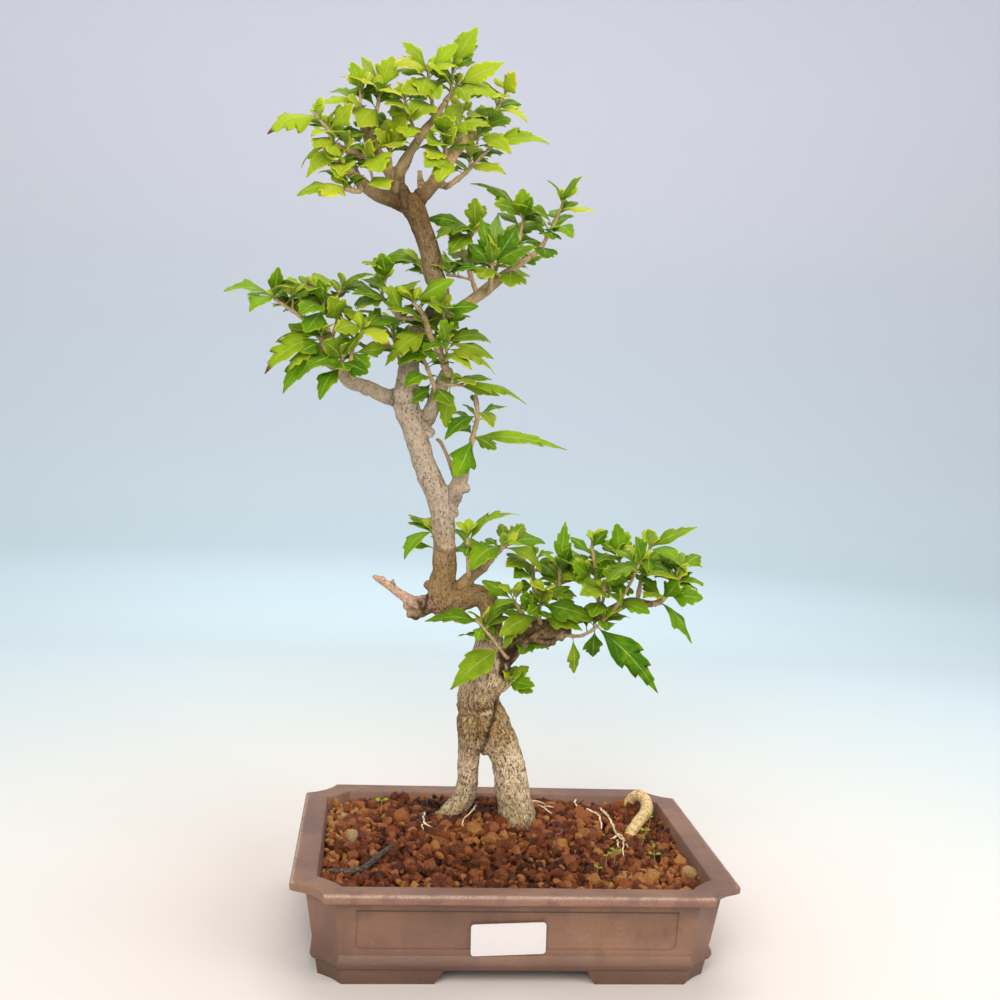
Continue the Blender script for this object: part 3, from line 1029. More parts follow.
class SoilSettings(bpy.types.PropertyGroup):
    """Grains of the soil"""

    spacing: FloatProperty(
        name="Grain spacing", description="Distance between grains", default=0.0066, unit="LENGTH"
    )
    grain_radius: FloatProperty(
        name="Grain radius", description="Radius of a middling grain", default=0.0038, unit="LENGTH"
    )
    dark_colour: FloatVectorProperty(
        name="Dark grains", description="Colour of the wettest grains", subtype="COLOR",
        default=(0.034, 0.01, 0.004),
    )
    red_colour: FloatVectorProperty(
        name="Red grains", description="Colour of most grains", subtype="COLOR",
        default=(0.178, 0.041, 0.007),
    )
    tan_colour: FloatVectorProperty(
        name="Tan grains", description="Colour of the driest grains", subtype="COLOR",
        default=(0.4, 0.185, 0.05),
    )


class TrunkSettings(bpy.types.PropertyGroup):
    """Bark of the trunk, the limbs and the twigs"""

    detail: FloatProperty(
        name="Detail", description="Size of the trunk's faces", default=0.00094, min=0.0005, unit="LENGTH"
    )
    fissure_depth: FloatProperty(
        name="Fissure depth", description="Depth of the cracks in old bark", default=0.0005, unit="LENGTH"
    )
    pale_colour: FloatVectorProperty(
        name="Pale bark", description="Colour of the ridges", subtype="COLOR", default=(0.84, 0.66, 0.45)
    )
    warm_colour: FloatVectorProperty(
        name="Warm bark", description="Colour of the browner patches", subtype="COLOR",
        default=(0.54, 0.34, 0.18),
    )
    twig_colour: FloatVectorProperty(
        name="Twigs", description="Colour of young wood", subtype="COLOR", default=(0.64, 0.45, 0.24)
    )
    dark_colour: FloatVectorProperty(
        name="Dark bark", description="Colour of pits and cracks", subtype="COLOR",
        default=(0.095, 0.046, 0.02),
    )
    foot_colour: FloatVectorProperty(
        name="Mossy bark", description="Colour of the bark near the soil", subtype="COLOR",
        default=(0.4, 0.31, 0.12),
    )


class LeafSettings(bpy.types.PropertyGroup):
    """Leaves of the shoots"""

    thickness: FloatProperty(
        name="Thickness", description="Thickness of a blade", default=0.00035, min=0.0001, unit="LENGTH"
    )
    young_leaves: IntProperty(
        name="Young leaves", description="Small leaves at the end of each twig", default=3, min=0, max=6
    )
    inner_leaves: IntProperty(
        name="Inner leaves", description="Leaves added inside the shoot for each twig", default=5, min=0,
        max=6,
    )
    green: FloatVectorProperty(
        name="Green", description="Colour of a fresh blade", subtype="COLOR", default=(0.188, 0.35, 0.004)
    )
    deep_green: FloatVectorProperty(
        name="Deep green", description="Colour of an older blade", subtype="COLOR",
        default=(0.032, 0.108, 0.002),
    )
    yellow: FloatVectorProperty(
        name="Yellow", description="Colour of the edges and of turning leaves", subtype="COLOR",
        default=(0.66, 0.56, 0.04),
    )
    brown: FloatVectorProperty(
        name="Brown", description="Colour of dry tips", subtype="COLOR", default=(0.12, 0.045, 0.015)
    )


def clay_material(pot):
    """Unglazed clay: purplish brown, clouded and stained, darker at the foot, with a worn pale lip."""
    r = Recipe("unglazed_clay", ior=1.5)
    place = r.place()
    along, across, height = r.parts(place)
    # Clouds, marks of the scraping tool, sand and rusty spots
    cloud = r.grain(14, 4, place)
    drag = r.grain(1, 4, r.stretched(place, (40, 40, 520)))
    fine = r.grain(800, 4, place)
    sand = r.rise(r.cells(900, place), 0.24, 0.1) * r.rise(r.grain(120, 3, place), 0.5, 0.66)
    rusty = r.rise(r.cells(420, place), 0.3, 0.12) * r.rise(r.grain(70, 2, place), 0.5, 0.64)
    clay = tuple(pot.clay_colour)
    dusky = scaled(clay, 0.76, 0.74, 0.82)
    blotch = r.grain(64, 5, place)
    colour = r.blend(r.rise(cloud, 0.36, 0.64), dusky, scaled(clay, 1.2, 1.2, 1.12))
    colour = r.blend(r.rise(blotch, 0.5, 0.66) * 0.5, colour, scaled(clay, 0.72, 0.7, 0.8))
    stain = r.rise(r.grain(30, 5, r.stretched(place, (1, 1, 0.45))), 0.52, 0.66)
    colour = r.blend(stain * 0.45, colour, scaled(clay, 0.66, 0.62, 0.68))
    # The lip: worn pale, most of all along its edge
    beyond = r.rise(abs(across - SHIFT.y), 0.105, 0.107) + r.rise(abs(along - SHIFT.x), 0.135, 0.137)
    worn = r.clamped(beyond) * r.rise(height, 0.054, 0.056)
    colour = r.blend(worn * 0.45, colour, scaled(clay, 1.5))
    edge = worn * r.rise(height, 0.0605, 0.0613) * r.rise(height, 0.06198, 0.0618)
    colour = r.blend(edge * r.rise(fine, 0.35, 0.55) * 0.6, colour, pot.pale_fleck)
    colour = r.blend(r.rise(blotch, 0.5, 0.6) * worn * 0.5, colour, (0.16, 0.07, 0.06))
    colour = r.blend(r.rise(drag, 0.45, 0.6) * 0.14, colour, dusky)
    colour = r.blend(r.rise(fine, 0.52, 0.7) * 0.3, colour, scaled(clay, 0.6))
    # The foot and the line between panel and skirt: darker
    foot = r.rise(height, 0.023, 0.014) * 0.45 + r.rise(height, 0.012, 0.006) * 0.15
    colour = r.blend(foot, colour, scaled(clay, 0.36))
    line = r.rise(height, 0.0474, 0.048) * r.rise(height, 0.0496, 0.049)
    line = line * r.rise(abs(along - SHIFT.x), 0.0985, 0.0975) * r.rise(abs(across - SHIFT.y), 0.085, 0.09)
    colour = r.blend(line * 0.85, colour, scaled(clay, 0.25))
    # Specks over all of it
    colour = r.blend(rusty * 0.4, colour, (0.22, 0.08, 0.045))
    grit = r.rise(r.grain(1500, 4, place), 0.54, 0.66)
    colour = r.blend(grit * 0.35, colour, scaled(clay, 0.55))
    colour = r.blend(sand * 0.5, colour, pot.pale_fleck)
    relief = fine * 0.5 + drag * 0.12 - sand * 0.3 + blotch * 0.3
    return r.finish(colour, 0.4 + fine * 0.25, relief, 0.00045)


def label_material():
    """Blank white sticker with a slight sheen."""
    r = Recipe("blank_sticker")
    fibre = r.grain(700, 3)
    colour = r.blend(r.rise(fibre, 0.3, 0.7), (0.68, 0.64, 0.65), (0.71, 0.67, 0.67))
    return r.finish(colour, 0.32 + fibre * 0.08, fibre, 0.000004)


def net_material():
    """Dark moulded plastic with a dusty film."""
    r = Recipe("dark_plastic_net")
    dust = r.grain(300, 4)
    colour = r.blend(r.rise(dust, 0.45, 0.75), (0.018, 0.018, 0.017), (0.1, 0.06, 0.04))
    return r.finish(colour, 0.45 + dust * 0.3, dust, 0.0001)


def soil_material(soil):
    """Damp granules of baked clay: each has its own tone, from wet and dark to dry and tan."""
    r = Recipe("baked_clay_grains", ior=1.4, specular_ior_level=0.35)
    tone = r.attribute("tone")
    place = r.place()
    fine = r.grain(1500, 3, place)
    patch = r.grain(420, 3, place)
    stops = [
        (0.0, soil.dark_colour),
        (0.35, soil.red_colour),
        (0.6, scaled(soil.red_colour, 1.9, 2.8, 4.4)),
        (0.86, soil.tan_colour),
        (1.0, (0.38, 0.26, 0.13)),
    ]
    mixed = tone + (patch - 0.5) * 0.22
    colour = r.node("ShaderNodeValToRGB", {"stops": stops}, {0: mixed})
    colour = r.blend(r.rise(fine, 0.5, 0.72) * 0.35, colour, soil.dark_colour)
    return r.finish(colour, 0.28 + patch * 0.35, fine + patch * 1.4, 0.0011)


def bark_material(name, trunk, moss=True):
    """Grey-tan bark: pale corky ridges, brown cracks, greener at the foot, browner and finer higher up."""
    r = Recipe(name, ior=1.35, specular_ior_level=0.3)
    place = r.place()
    height = r.parts(place)[2]
    girth = r.attribute("girth")
    # Patterns that run along each limb: ridges, streaks, fine cracks, rings round it, fissures and pits
    along = r.warped(r.attribute("bark", "Vector"), 260, 0.0016)
    ridge = r.grain(1, 5, r.stretched(along, (560, 560, 260)), 0.6)
    streak = r.grain(1, 4, r.stretched(along, (900, 900, 320)), 0.6)
    fine = r.grain(1, 4, r.stretched(along, (1900, 1900, 1100)), 0.65)
    rings = r.grain(1, 3, r.stretched(along, (120, 120, 760)))
    cloud = r.grain(38, 3, place)
    age = r.rise(girth, 0.0032, 0.0085)
    low = r.rise(height, 0.23, 0.17)
    fissure = r.rise(streak, 0.46, 0.37) * r.rise(ridge, 0.64, 0.44)
    specks = r.rise(r.cells(1, r.stretched(along, (500, 500, 300))), 0.34, 0.18) * r.rise(cloud, 0.28, 0.5)
    pits = (fissure * (0.3 + low * 0.7) + specks * 0.8) * age
    # The ground colour, by height and girth
    dark = tuple(trunk.dark_colour)
    highest = BARK_TONES[-1][0]
    stops = [(at / highest, scaled(trunk.pale_colour, *tone)) for at, *tone in BARK_TONES]
    level = (height + (cloud - 0.5) * 0.03) * (1 / highest)
    colour = r.node("ShaderNodeValToRGB", {"stops": stops}, {0: level})
    colour = r.blend(r.rise(cloud, 0.5, 0.68) * 0.4, colour, r.blend(0.5, colour, trunk.warm_colour))
    colour = r.blend(r.rise(girth, 0.0062, 0.0022), colour, trunk.twig_colour)
    if moss:
        foot = r.rise(height + cloud * 0.05, 0.115, 0.074)
        colour = r.blend(foot * 0.7, colour, trunk.foot_colour)
        colour = r.blend(r.rise(height + cloud * 0.02, 0.068, 0.06) * 0.6, colour, (0.07, 0.06, 0.02))
    # Pale ridges and dark cracks on it
    shaded = r.blend(0.72, colour, dark)
    colour = r.blend(r.rise(ridge, 0.47, 0.36) * 0.5, colour, shaded)
    corky = r.blend(0.5, colour, (1, 0.9, 0.74))
    colour = r.blend(r.rise(ridge, 0.52, 0.64) * (0.16 + low * 0.44), colour, corky)
    colour = r.blend(r.rise(rings, 0.55, 0.68) * 0.3, colour, shaded)
    colour = r.blend(r.rise(fine, 0.48, 0.58) * (0.45 + low * 0.3), colour, shaded)
    # Wood without bark, rough dark skin, pits, marks and sawn ends
    bare_wood = r.blend(r.rise(streak, 0.36, 0.6), (0.36, 0.2, 0.13), (0.74, 0.51, 0.38))
    colour = r.blend(r.attribute("bare") * 0.8, colour, bare_wood)
    rough_skin = r.blend(r.rise(ridge, 0.4, 0.6), (0.055, 0.025, 0.009), (0.25, 0.14, 0.055))
    colour = r.blend(r.attribute("stain") * 0.85, colour, rough_skin)
    colour = r.blend(r.clamped(pits) * 0.8, colour, dark)
    pit = r.attribute("pit")
    colour = r.blend(r.clamped(pit * 0.95), colour, scaled(dark, 0.5))
    colour = r.blend(r.clamped(pit * -0.7), colour, (0.85, 0.7, 0.52))
    sawn_wood = r.blend(fine, (0.66, 0.5, 0.33), (0.3, 0.19, 0.11))
    colour = r.blend(r.attribute("cut") * 0.85, colour, sawn_wood)
    relief = ridge * 0.9 + fine * 0.5 - pits * 0.7 - rings * 0.25
    return r.finish(colour, 0.78 + fine * 0.15, relief, 0.0011)


def leaf_material(name, leaf, under):
    """A blade with fine pale veins, a yellowing rim and sometimes a brown tip; the underside is paler."""
    r = Recipe(name, ior=1.38, specular_ior_level=0.14, subsurface_weight=0.25, subsurface_scale=0.003)
    r.shader.inputs["Subsurface Radius"].default_value = (0.6, 1, 0.12)
    along, across, width = r.parts(r.attribute("blade", "Vector"))
    yellow, deep, brown = r.parts(r.attribute("tint", "Vector"))
    # Midrib, slanting side veins, and a rim that widens towards the tip
    side = abs(across)
    mottle = r.grain(130, 3)
    fine = r.grain(700, 3)
    midrib = r.rise(side * width, 0.0007, 0.0002)
    slant = (along - side * 0.3) * 5.5
    saw = r.node("ShaderNodeMath", {"operation": "PINGPONG"}, {0: slant, 1: 0.5})
    veins = r.rise(saw, 0.07, 0.0) * r.rise(side, 0.95, 0.55)
    rim = r.rise(side * side + r.rise(along, 0.55, 1.0) * 0.45 + (mottle - 0.5) * 0.5, 0.62, 1.3)
    edge = r.rise(side, 0.955, 1.0)
    # Greens, deeper at the base, then yellow, veins, the stalk and the dry tip
    fresh = scaled(leaf.green, 1.45, 1.2, 1.2)
    colour = r.blend(deep, leaf.green, leaf.deep_green)
    colour = r.blend(r.rise(mottle, 0.42, 0.7) * 0.3, colour, fresh)
    base = r.blend(0.3, colour, leaf.deep_green)
    colour = r.blend(r.rise(along + (mottle - 0.5) * 0.4, 0.05, 0.6), base, colour)
    colour = r.blend(rim * 0.5, colour, fresh)
    colour = r.blend(r.clamped(yellow * 0.7 + yellow * rim), colour, leaf.yellow)
    colour = r.blend(edge * 0.22, colour, leaf.yellow)
    colour = r.blend(veins * 0.25 + midrib * 0.5, colour, (0.42, 0.52, 0.14))
    colour = r.blend(r.rise(along, 0.03, -0.05), colour, (0.33, 0.33, 0.09))
    colour = r.blend(r.rise(along * brown + mottle * 0.12, 0.86, 0.97), colour, leaf.brown)
    if under:
        colour = r.blend(0.3, colour, (0.36, 0.47, 0.17))
    relief = fine * 0.2 - midrib * 0.6 - veins * 0.5
    return r.finish(colour, 0.48 + mottle * 0.2, relief, 0.00025)


class BONSAI_OT_stage(bpy.types.Operator):
    """Camera, pale floor and soft lamps"""

    bl_idname = "bonsai.make_stage"
    bl_label = "Stage"

    def execute(self, context):
        stage = context.scene.bonsai_stage
        self.camera(context)
        self.floor()
        self.lamps(context, stage)
        return {"FINISHED"}

    def camera(self, context):
        """The camera at the viewer's place, turned by its three angles."""
        data = bpy.data.cameras.new("camera")
        data.lens = CAMERA_LENS
        data.sensor_width = CAMERA_SENSOR
        camera = new_object("camera", data)
        yaw, pitch, roll = (math.radians(a) for a in (CAMERA_YAW, CAMERA_PITCH, CAMERA_ROLL))
        ahead = Vector((math.sin(yaw) * math.cos(pitch), math.cos(yaw) * math.cos(pitch), -math.sin(pitch)))
        level = Vector((math.cos(yaw), -math.sin(yaw), 0))
        above = level.cross(ahead)
        right = math.cos(roll) * level + math.sin(roll) * above
        up = math.cos(roll) * above - math.sin(roll) * level
        turn = Matrix((right, up, -ahead)).transposed().to_4x4()
        camera.matrix_world = Matrix.Translation(Vector(CAMERA_SPOT) + SHIFT) @ turn
        context.scene.camera = camera

    def floor(self):
        """A round floor whose rim sweeps up into a pale backdrop on all sides."""
        deselect()
        bpy.ops.mesh.primitive_circle_add(
            vertices=FLOOR_SIDES, radius=FLOOR_RADIUS, fill_type="TRIFAN", location=(0, 0, 0)
        )
        floor = bpy.context.object
        floor.name = "floor"
        bpy.ops.object.mode_set(mode="EDIT")
        bpy.ops.mesh.select_mode(type="VERT")
        bpy.ops.mesh.select_all(action="DESELECT")
        mesh = bmesh.from_edit_mesh(floor.data)
        for vertex in mesh.verts:
            vertex.select_set(vertex.co.length > FLOOR_RIM)
        mesh.select_flush(True)
        for edge in mesh.edges:
            edge.select_set(all(v.co.length > FLOOR_RIM for v in edge.verts))
        bmesh.update_edit_mesh(floor.data)
        radius = FLOOR_RADIUS
        for k in range(SWEEP_STEPS):
            angle = math.pi / 2 * (k + 0.5) / SWEEP_STEPS
            out = SWEEP_RADIUS * math.cos(angle) * math.pi / 2 / SWEEP_STEPS
            rise = SWEEP_RADIUS * math.sin(angle) * math.pi / 2 / SWEEP_STEPS
            bpy.ops.mesh.extrude_region_move(TRANSFORM_OT_translate={"value": (0, 0, rise)})
            growth = (radius + out) / radius
            bpy.ops.transform.resize(value=(growth, growth, 1), center_override=(0, 0, 0))
            radius += out
        bpy.ops.mesh.extrude_region_move(TRANSFORM_OT_translate={"value": (0, 0, WALL_HEIGHT)})
        bpy.ops.object.mode_set(mode="OBJECT")
        smooth(floor, 60)
        floor.data.materials.append(self.floor_material())

    def floor_material(self):
        """Matt paint whose colour changes with the distance from the pot."""
        r = Recipe("pale_floor")
        furthest = FLOOR_TONES[-1][0]
        away = r.node("ShaderNodeVectorMath", {"operation": "LENGTH"}, {0: r.place()}, "Value")
        stops = [(at / furthest, tone) for at, *tone in FLOOR_TONES]
        return r.finish(r.node("ShaderNodeValToRGB", {"stops": stops}, {0: away * (1 / furthest)}), 0.8)

    def lamps(self, context, stage):
        """Light from all round, soft lamps on the object and one on the backdrop."""
        world = bpy.data.worlds.new("soft_air")
        world.use_nodes = True
        air = world.node_tree.nodes["Background"]
        air.inputs["Color"].default_value = (*stage.air_colour, 1)
        air.inputs["Strength"].default_value = stage.air_strength
        context.scene.world = world
        for name, place, size, share in LAMPS:
            self.lamp(name, place, size, stage.lamp_power * share, stage.lamp_colour)
        back = self.lamp(*BACKDROP_LAMP, stage.backdrop_power, stage.backdrop_colour)
        back.rotation_euler = (math.radians(BACKDROP_LAMP_TILT), 0, 0)

    def lamp(self, name, place, size, power, colour):
        """A soft square lamp that looks at the tree."""
        data = bpy.data.lights.new(name, "AREA")
        data.size = size
        data.energy = power
        data.color = colour
        lamp = new_object(name, data)
        lamp.location = place
        aim = Vector(LAMP_AIM) - Vector(place)
        lamp.rotation_euler = aim.to_track_quat("-Z", "Y").to_euler()
        return lamp


class BONSAI_OT_pot(bpy.types.Operator):
    """Clay pot with worn edges"""

    bl_idname = "bonsai.make_pot"
    bl_label = "Pot"

    def execute(self, context):
        settings = context.scene.bonsai_pot
        pot = cad_copy("pot", "clay_pot")
        apply_modifier(
            pot, "BEVEL", width=settings.edge_round, segments=2, limit_method="ANGLE",
            angle_limit=math.radians(28),
        )
        smooth(pot, 32)
        finished(pot, [clay_material(settings)], ["pot"])
        return {"FINISHED"}


class BONSAI_OT_small_parts(bpy.types.Operator):
    """Finishes of the label and of the nets over the drain holes"""

    bl_idname = "bonsai.finish_small_parts"
    bl_label = "Label and drain nets"

    def execute(self, context):
        net = net_material()
        for node, material in (
            ("label", label_material()),
            ("drain_mesh_left", net),
            ("drain_mesh_right", net),
        ):
            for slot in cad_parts[node].material_slots:
                slot.material = material
        return {"FINISHED"}


class BONSAI_OT_soil(bpy.types.Operator):
    """Bed of granular soil: an under layer, grains, crumbs and a few larger lumps"""

    bl_idname = "bonsai.make_soil"
    bl_label = "Soil"

    def execute(self, context):
        settings = context.scene.bonsai_soil
        material = soil_material(settings)
        self.bed(material)
        self.random = np.random.default_rng(GRAIN_SEED)
        faces, shapes = self.grain_shapes()
        self.scatter("soil_grains", self.layer(settings, 1), faces, shapes, material)
        self.scatter("soil_crumbs", self.layer(settings, CRUMB_SIZE), faces, shapes, material)
        lumps = [(*on_soil(x, y, -radius * LUMP_DEPTH), radius, tone) for x, y, radius, tone in LUMPS]
        self.scatter("soil_lumps", lumps, faces, shapes, material)
        return {"FINISHED"}

    def bed(self, material):
        """The under layer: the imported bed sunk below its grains."""
        bed = cad_copy("soil_bed", "soil_under_layer")
        rows = places(bed.data)
        top = rows[:, 2] > BED_TOP * MM
        rows[top, 2] -= BED_SINK * MM
        put(bed.data, rows)
        smooth(bed, 60)
        numbers(bed.data, "tone", np.full(len(rows), BED_TONE))
        finished(bed, [material], ["soil_bed"])

    def grain_shapes(self):
        """The faces and the corners of a few angular grains of radius 1, to be copied."""
        shapes = []
        for number in range(GRAIN_SHAPES):
            deselect()
            bpy.ops.mesh.primitive_ico_sphere_add(subdivisions=2, radius=1, location=(0, 0, 0))
            grain = bpy.context.object
            rows = places(grain.data)
            faces = np.array([p.vertices[:] for p in grain.data.polygons])
            for row in rows:
                row *= 1.14 + 0.42 * noise.noise(Vector(row) * 1.3 + Vector((number * 7.3, 0, 0)))
            for _ in range(GRAIN_FACETS):
                way = self.random.normal(size=3)
                way /= np.linalg.norm(way)
                over = np.clip(rows @ way - self.random.uniform(0.58, 0.85), 0, None)
                rows -= np.outer(over, way)
            shapes.append(rows)
            bpy.data.meshes.remove(grain.data)
        return faces, shapes

    def layer(self, settings, size):
        """Grains on a loose grid as (x, y, z, radius, tone); crumbs lie higher, between the others."""
        random = self.random
        crumbs = size < 1
        step = settings.spacing / MM * (CRUMB_SPACING if crumbs else 1)
        grains = []
        for i in range(int(2 * POT_HALF_LENGTH / step)):
            for j in range(int(2 * POT_HALF_DEPTH / step)):
                dx, dy = random.uniform(-GRAIN_SHIFT, GRAIN_SHIFT, 2) * step
                x = (i + 0.5 * crumbs) * step - POT_HALF_LENGTH + dx
                y = (j + 0.5 * (i % 2)) * step - POT_HALF_DEPTH + dy
                radius = settings.grain_radius / MM * size
                radius *= random.choice(GRAIN_SIZES, p=GRAIN_ODDS)
                tone = random.beta(1.7, 2.5) * 0.86
                lift = random.uniform(*GRAIN_LIFT)
                if not inside_pot(x, y, SOIL_INSET + 0.4 + radius * 0.85):
                    continue
                if any(math.hypot(x - a, y - b) < clear + radius * 0.3 for a, b, clear in KEPT_CLEAR):
                    continue
                for a, b, reach, change in TONE_PATCHES:
                    tone += change * math.exp(-((x - a) ** 2 + (y - b) ** 2) / reach**2)
                z = soil_level(x, y) - GRAIN_DEPTH + lift + (CRUMB_LIFT if crumbs else 0)
                grains.append((x, y, z, radius, min(max(tone, 0), 1)))
        return grains

    def scatter(self, name, grains, faces, shapes, material):
        """One piece with a turned and squashed copy of a grain at each place."""
        random = self.random
        corners = []
        tones = []
        for x, y, z, radius, tone in grains:
            shape = shapes[random.integers(len(shapes))]
            turn = Matrix.Rotation(random.uniform(0, 6.3), 3, random.uniform(-1, 1, 3))
            squash = random.uniform(0.8, 1.15, 3)
            corners.append(shape * squash * radius * MM @ np.array(turn).T + np.array(spot(x, y, z)))
            tones.append(np.full(len(shape), tone))
        step = np.arange(len(grains))[:, None, None] * len(shapes[0])
        mesh = bpy.data.meshes.new(name)
        mesh.from_pydata(np.concatenate(corners), [], (faces[None] + step).reshape(-1, 3).tolist())
        numbers(mesh, "tone", np.concatenate(tones))
        made = new_object(name, mesh)
        smooth(made, 38)
        finished(made, [material], ["soil_bed"])


class BONSAI_OT_litter(bpy.types.Operator):
    """Fine roots, red stems and seedlings on the soil"""

    bl_idname = "bonsai.make_litter"
    bl_label = "Roots and seedlings on the soil"

    def execute(self, context):
        pale, dark = (0.95, 0.8, 0.56), (0.55, 0.38, 0.2)
        self.strands("fine_roots", WHITE_ROOTS, FINE_ROOT_RADIUS, "root", pale, dark)
        pale, dark = (0.34, 0.05, 0.045), (0.12, 0.02, 0.02)
        self.strands("red_stems", RED_STEMS, RED_STEM_RADIUS, "dead_wood", pale, dark)
        self.seedlings(context.scene.bonsai_leaf)
        return {"FINISHED"}

    def strands(self, name, routes, radius, slot, pale, dark):
        """Thin tubes that wander over the grains and dip between them at their ends."""
        made = []
        for number, route in enumerate(routes):
            rows = []
            for k, (x, y, *lift) in enumerate(route):
                last = k in (0, len(route) - 1)
                rise = lift[0] if lift else -1.4 if last else 0.9 + 1.4 * chance(number, k)
                taper = 1 - 0.5 * k / (len(route) - 1)
                rows.append((*on_soil(x, y, rise), radius * taper * (0.8 + 0.5 * chance(number, 7))))
            rows = eased(rows, 2)
            for k in range(1, len(rows) - 1):
                rows[k, :2] += [1.1 * (chance(number, k, axis) - 0.5) for axis in (1, 2)]
            made.append(tube(name, rows, 1))
        strands = joined(name, made)
        strands.data.shade_smooth()
        r = Recipe(name)
        grain = r.grain(260, 4)
        r.finish(r.blend(r.rise(grain, 0.38, 0.62), pale, dark), 0.5 + grain * 0.2, grain, 0.0003)
        finished(strands, [r.material])

    def seedlings(self, settings):
        """Upright stems, each with a few tiny leaves."""
        sheet = flat_leaf("seedling_sheet", YOUNG, ACROSS_YOUNG)
        stems = []
        leaves = []
        for number, (x, y, height) in enumerate(SEEDLINGS):
            foot = on_soil(x, y, -2)
            lean = Vector((chance(number, 1) - 0.5, chance(number, 2) - 0.5, 0)) * height * 0.5
            top = foot + Vector((0, 0, height + 2)) + lean
            stems.append(tube("stem", [(*foot, 0.4), (*foot.lerp(top, 0.5), 0.35), (*top, 0.3)], 1))
            for k in range(2 + (height > 8) * 2):
                angle = 3.14 * k + number * 1.3 + (k > 1) * 1.5
                length = luck_length(SEEDLING_LENGTH, chance(number, k, 3))
                root = foot.lerp(top, 1 if k < 2 else 0.55)
                tip = root + Vector((math.cos(angle), math.sin(angle), 0.35)) * length
                luck = SEEDLING_NUMBERS + number * 4 + k
                leaves.append(grow_leaf(sheet, root, tip, UP, SEEDLING_WIDTH, luck, (0.1, 0.3, 0)))
        bpy.data.objects.remove(sheet[0])
        r = Recipe("seedling_stem")
        grain = r.grain(500, 3)
        r.finish(r.blend(grain, (0.3, 0.33, 0.08), (0.2, 0.1, 0.05)), 0.5, grain, 0.0001)
        stem = joined("seedling_stems", stems)
        stem.data.shade_smooth()
        finished(stem, [r.material])
        leaf = joined("seedling_leaves", leaves)
        apply_modifier(leaf, "SOLIDIFY", thickness=settings.thickness, offset=0)
        leaf.data.shade_smooth()
        finished(leaf, [leaf_material("seedling_leaf", settings, under=False)])


def bark_frames(route, step, number):
    """Points along a limb with their radius, direction, cross axes and length so far."""
    rows = eased(route, step)
    ahead = np.gradient(rows[:, :3], axis=0)
    ahead /= np.linalg.norm(ahead, axis=1)[:, None]
    length = np.concatenate([[0], np.cumsum(np.linalg.norm(np.diff(rows[:, :3], axis=0), axis=1))])
    across = np.array((0.31, 0.9, 0.17))
    first = []
    for direction in ahead:
        across = across - direction * across.dot(direction)
        across /= np.linalg.norm(across)
        first.append(across)
    first = np.array(first)
    second = np.cross(ahead, first)
    return np.hstack([rows, ahead, first, second, (length + LIMB_SPAN * number)[:, None]])


def bark_places(points, frames):
    """For each point in millimetres: its place across and along its limb, and the limb's radius."""
    local = np.empty((len(points), 3))
    girth = np.empty(len(points))
    for start in range(0, len(points), POINTS_AT_ONCE):
        part = slice(start, start + POINTS_AT_ONCE)
        away = np.linalg.norm(points[part, None] - frames[None, :, :3], axis=2) - frames[None, :, 3]
        nearest = frames[away.argmin(axis=1)]
        offset = points[part] - nearest[:, :3]
        local[part, 0] = (offset * nearest[:, 7:10]).sum(axis=1)
        local[part, 1] = (offset * nearest[:, 10:13]).sum(axis=1)
        local[part, 2] = nearest[:, 13] + (offset * nearest[:, 4:7]).sum(axis=1)
        girth[part] = nearest[:, 3]
    return local, girth


def limb_number(along):
    """The number of the limb that a place along belongs to."""
    return np.rint((along - LIMB_LEAD) / LIMB_SPAN)


def bark_relief(place, size, height):
    """How far the bark rises at a place on its limb, in fissure depths, and how pitted it is."""
    x, y, z = place
    old = min(max((size - 3) / 6, 0), 1)
    low = min(max((0.25 - height) / 0.1, 0), 1)
    cell = Vector((x * 0.3, y * 0.3, z * 0.13))
    cell += 0.4 * noise.noise_vector(cell * 1.4)
    near, second = noise.voronoi(cell)[0][:2]
    crease = max(0, 1 - (second - near) / 0.22)
    corky = noise.noise(Vector((x * 0.5, y * 0.5, z * 0.3)))
    lump = noise.noise(Vector((x, y, z * 0.7)) * 0.14)
    start = z - LIMB_SPAN * limb_number(z)
    collar = math.exp(-((start - 7) / 5) ** 2) if size < THIN_LIMB else 0
    wrinkle = abs(noise.noise(Vector((x * 0.25, y * 0.25, z * 1.1))))
    pitted = crease * crease * (0.1 + 0.35 * low) * old + collar * (0.25 + 0.9 * wrinkle)
    rise = (
        (0.2 + 0.8 * old) * (0.9 * corky - (0.35 + 0.45 * low) * crease * crease)
        + 1.7 * lump * (0.25 + old)
        + collar * (1.2 - 3.4 * wrinkle)
    )
    return rise, pitted


def press_marks(rows, normals, pits, marks):
    """Presses lines into the bark or raises them on it, and darkens or pales them."""
    for width, lift, tone, *line in marks:
        line = eased([(*p, 0) for p in line], 0.7)[:, :3]
        around = np.array(spot(*line.mean(axis=0)))
        close = np.nonzero(np.linalg.norm(rows - around, axis=1) < MARK_REACH * MM)[0]
        away = (in_millimetres(rows[close, None]) - line) * MARK_STRETCH
        share = np.exp(-((np.linalg.norm(away, axis=2).min(axis=1) / width) ** 2))
        rows[close] += normals[close] * (share * lift * MM)[:, None]
        pits[close] = np.clip(pits[close] + share * tone, -1, 1)


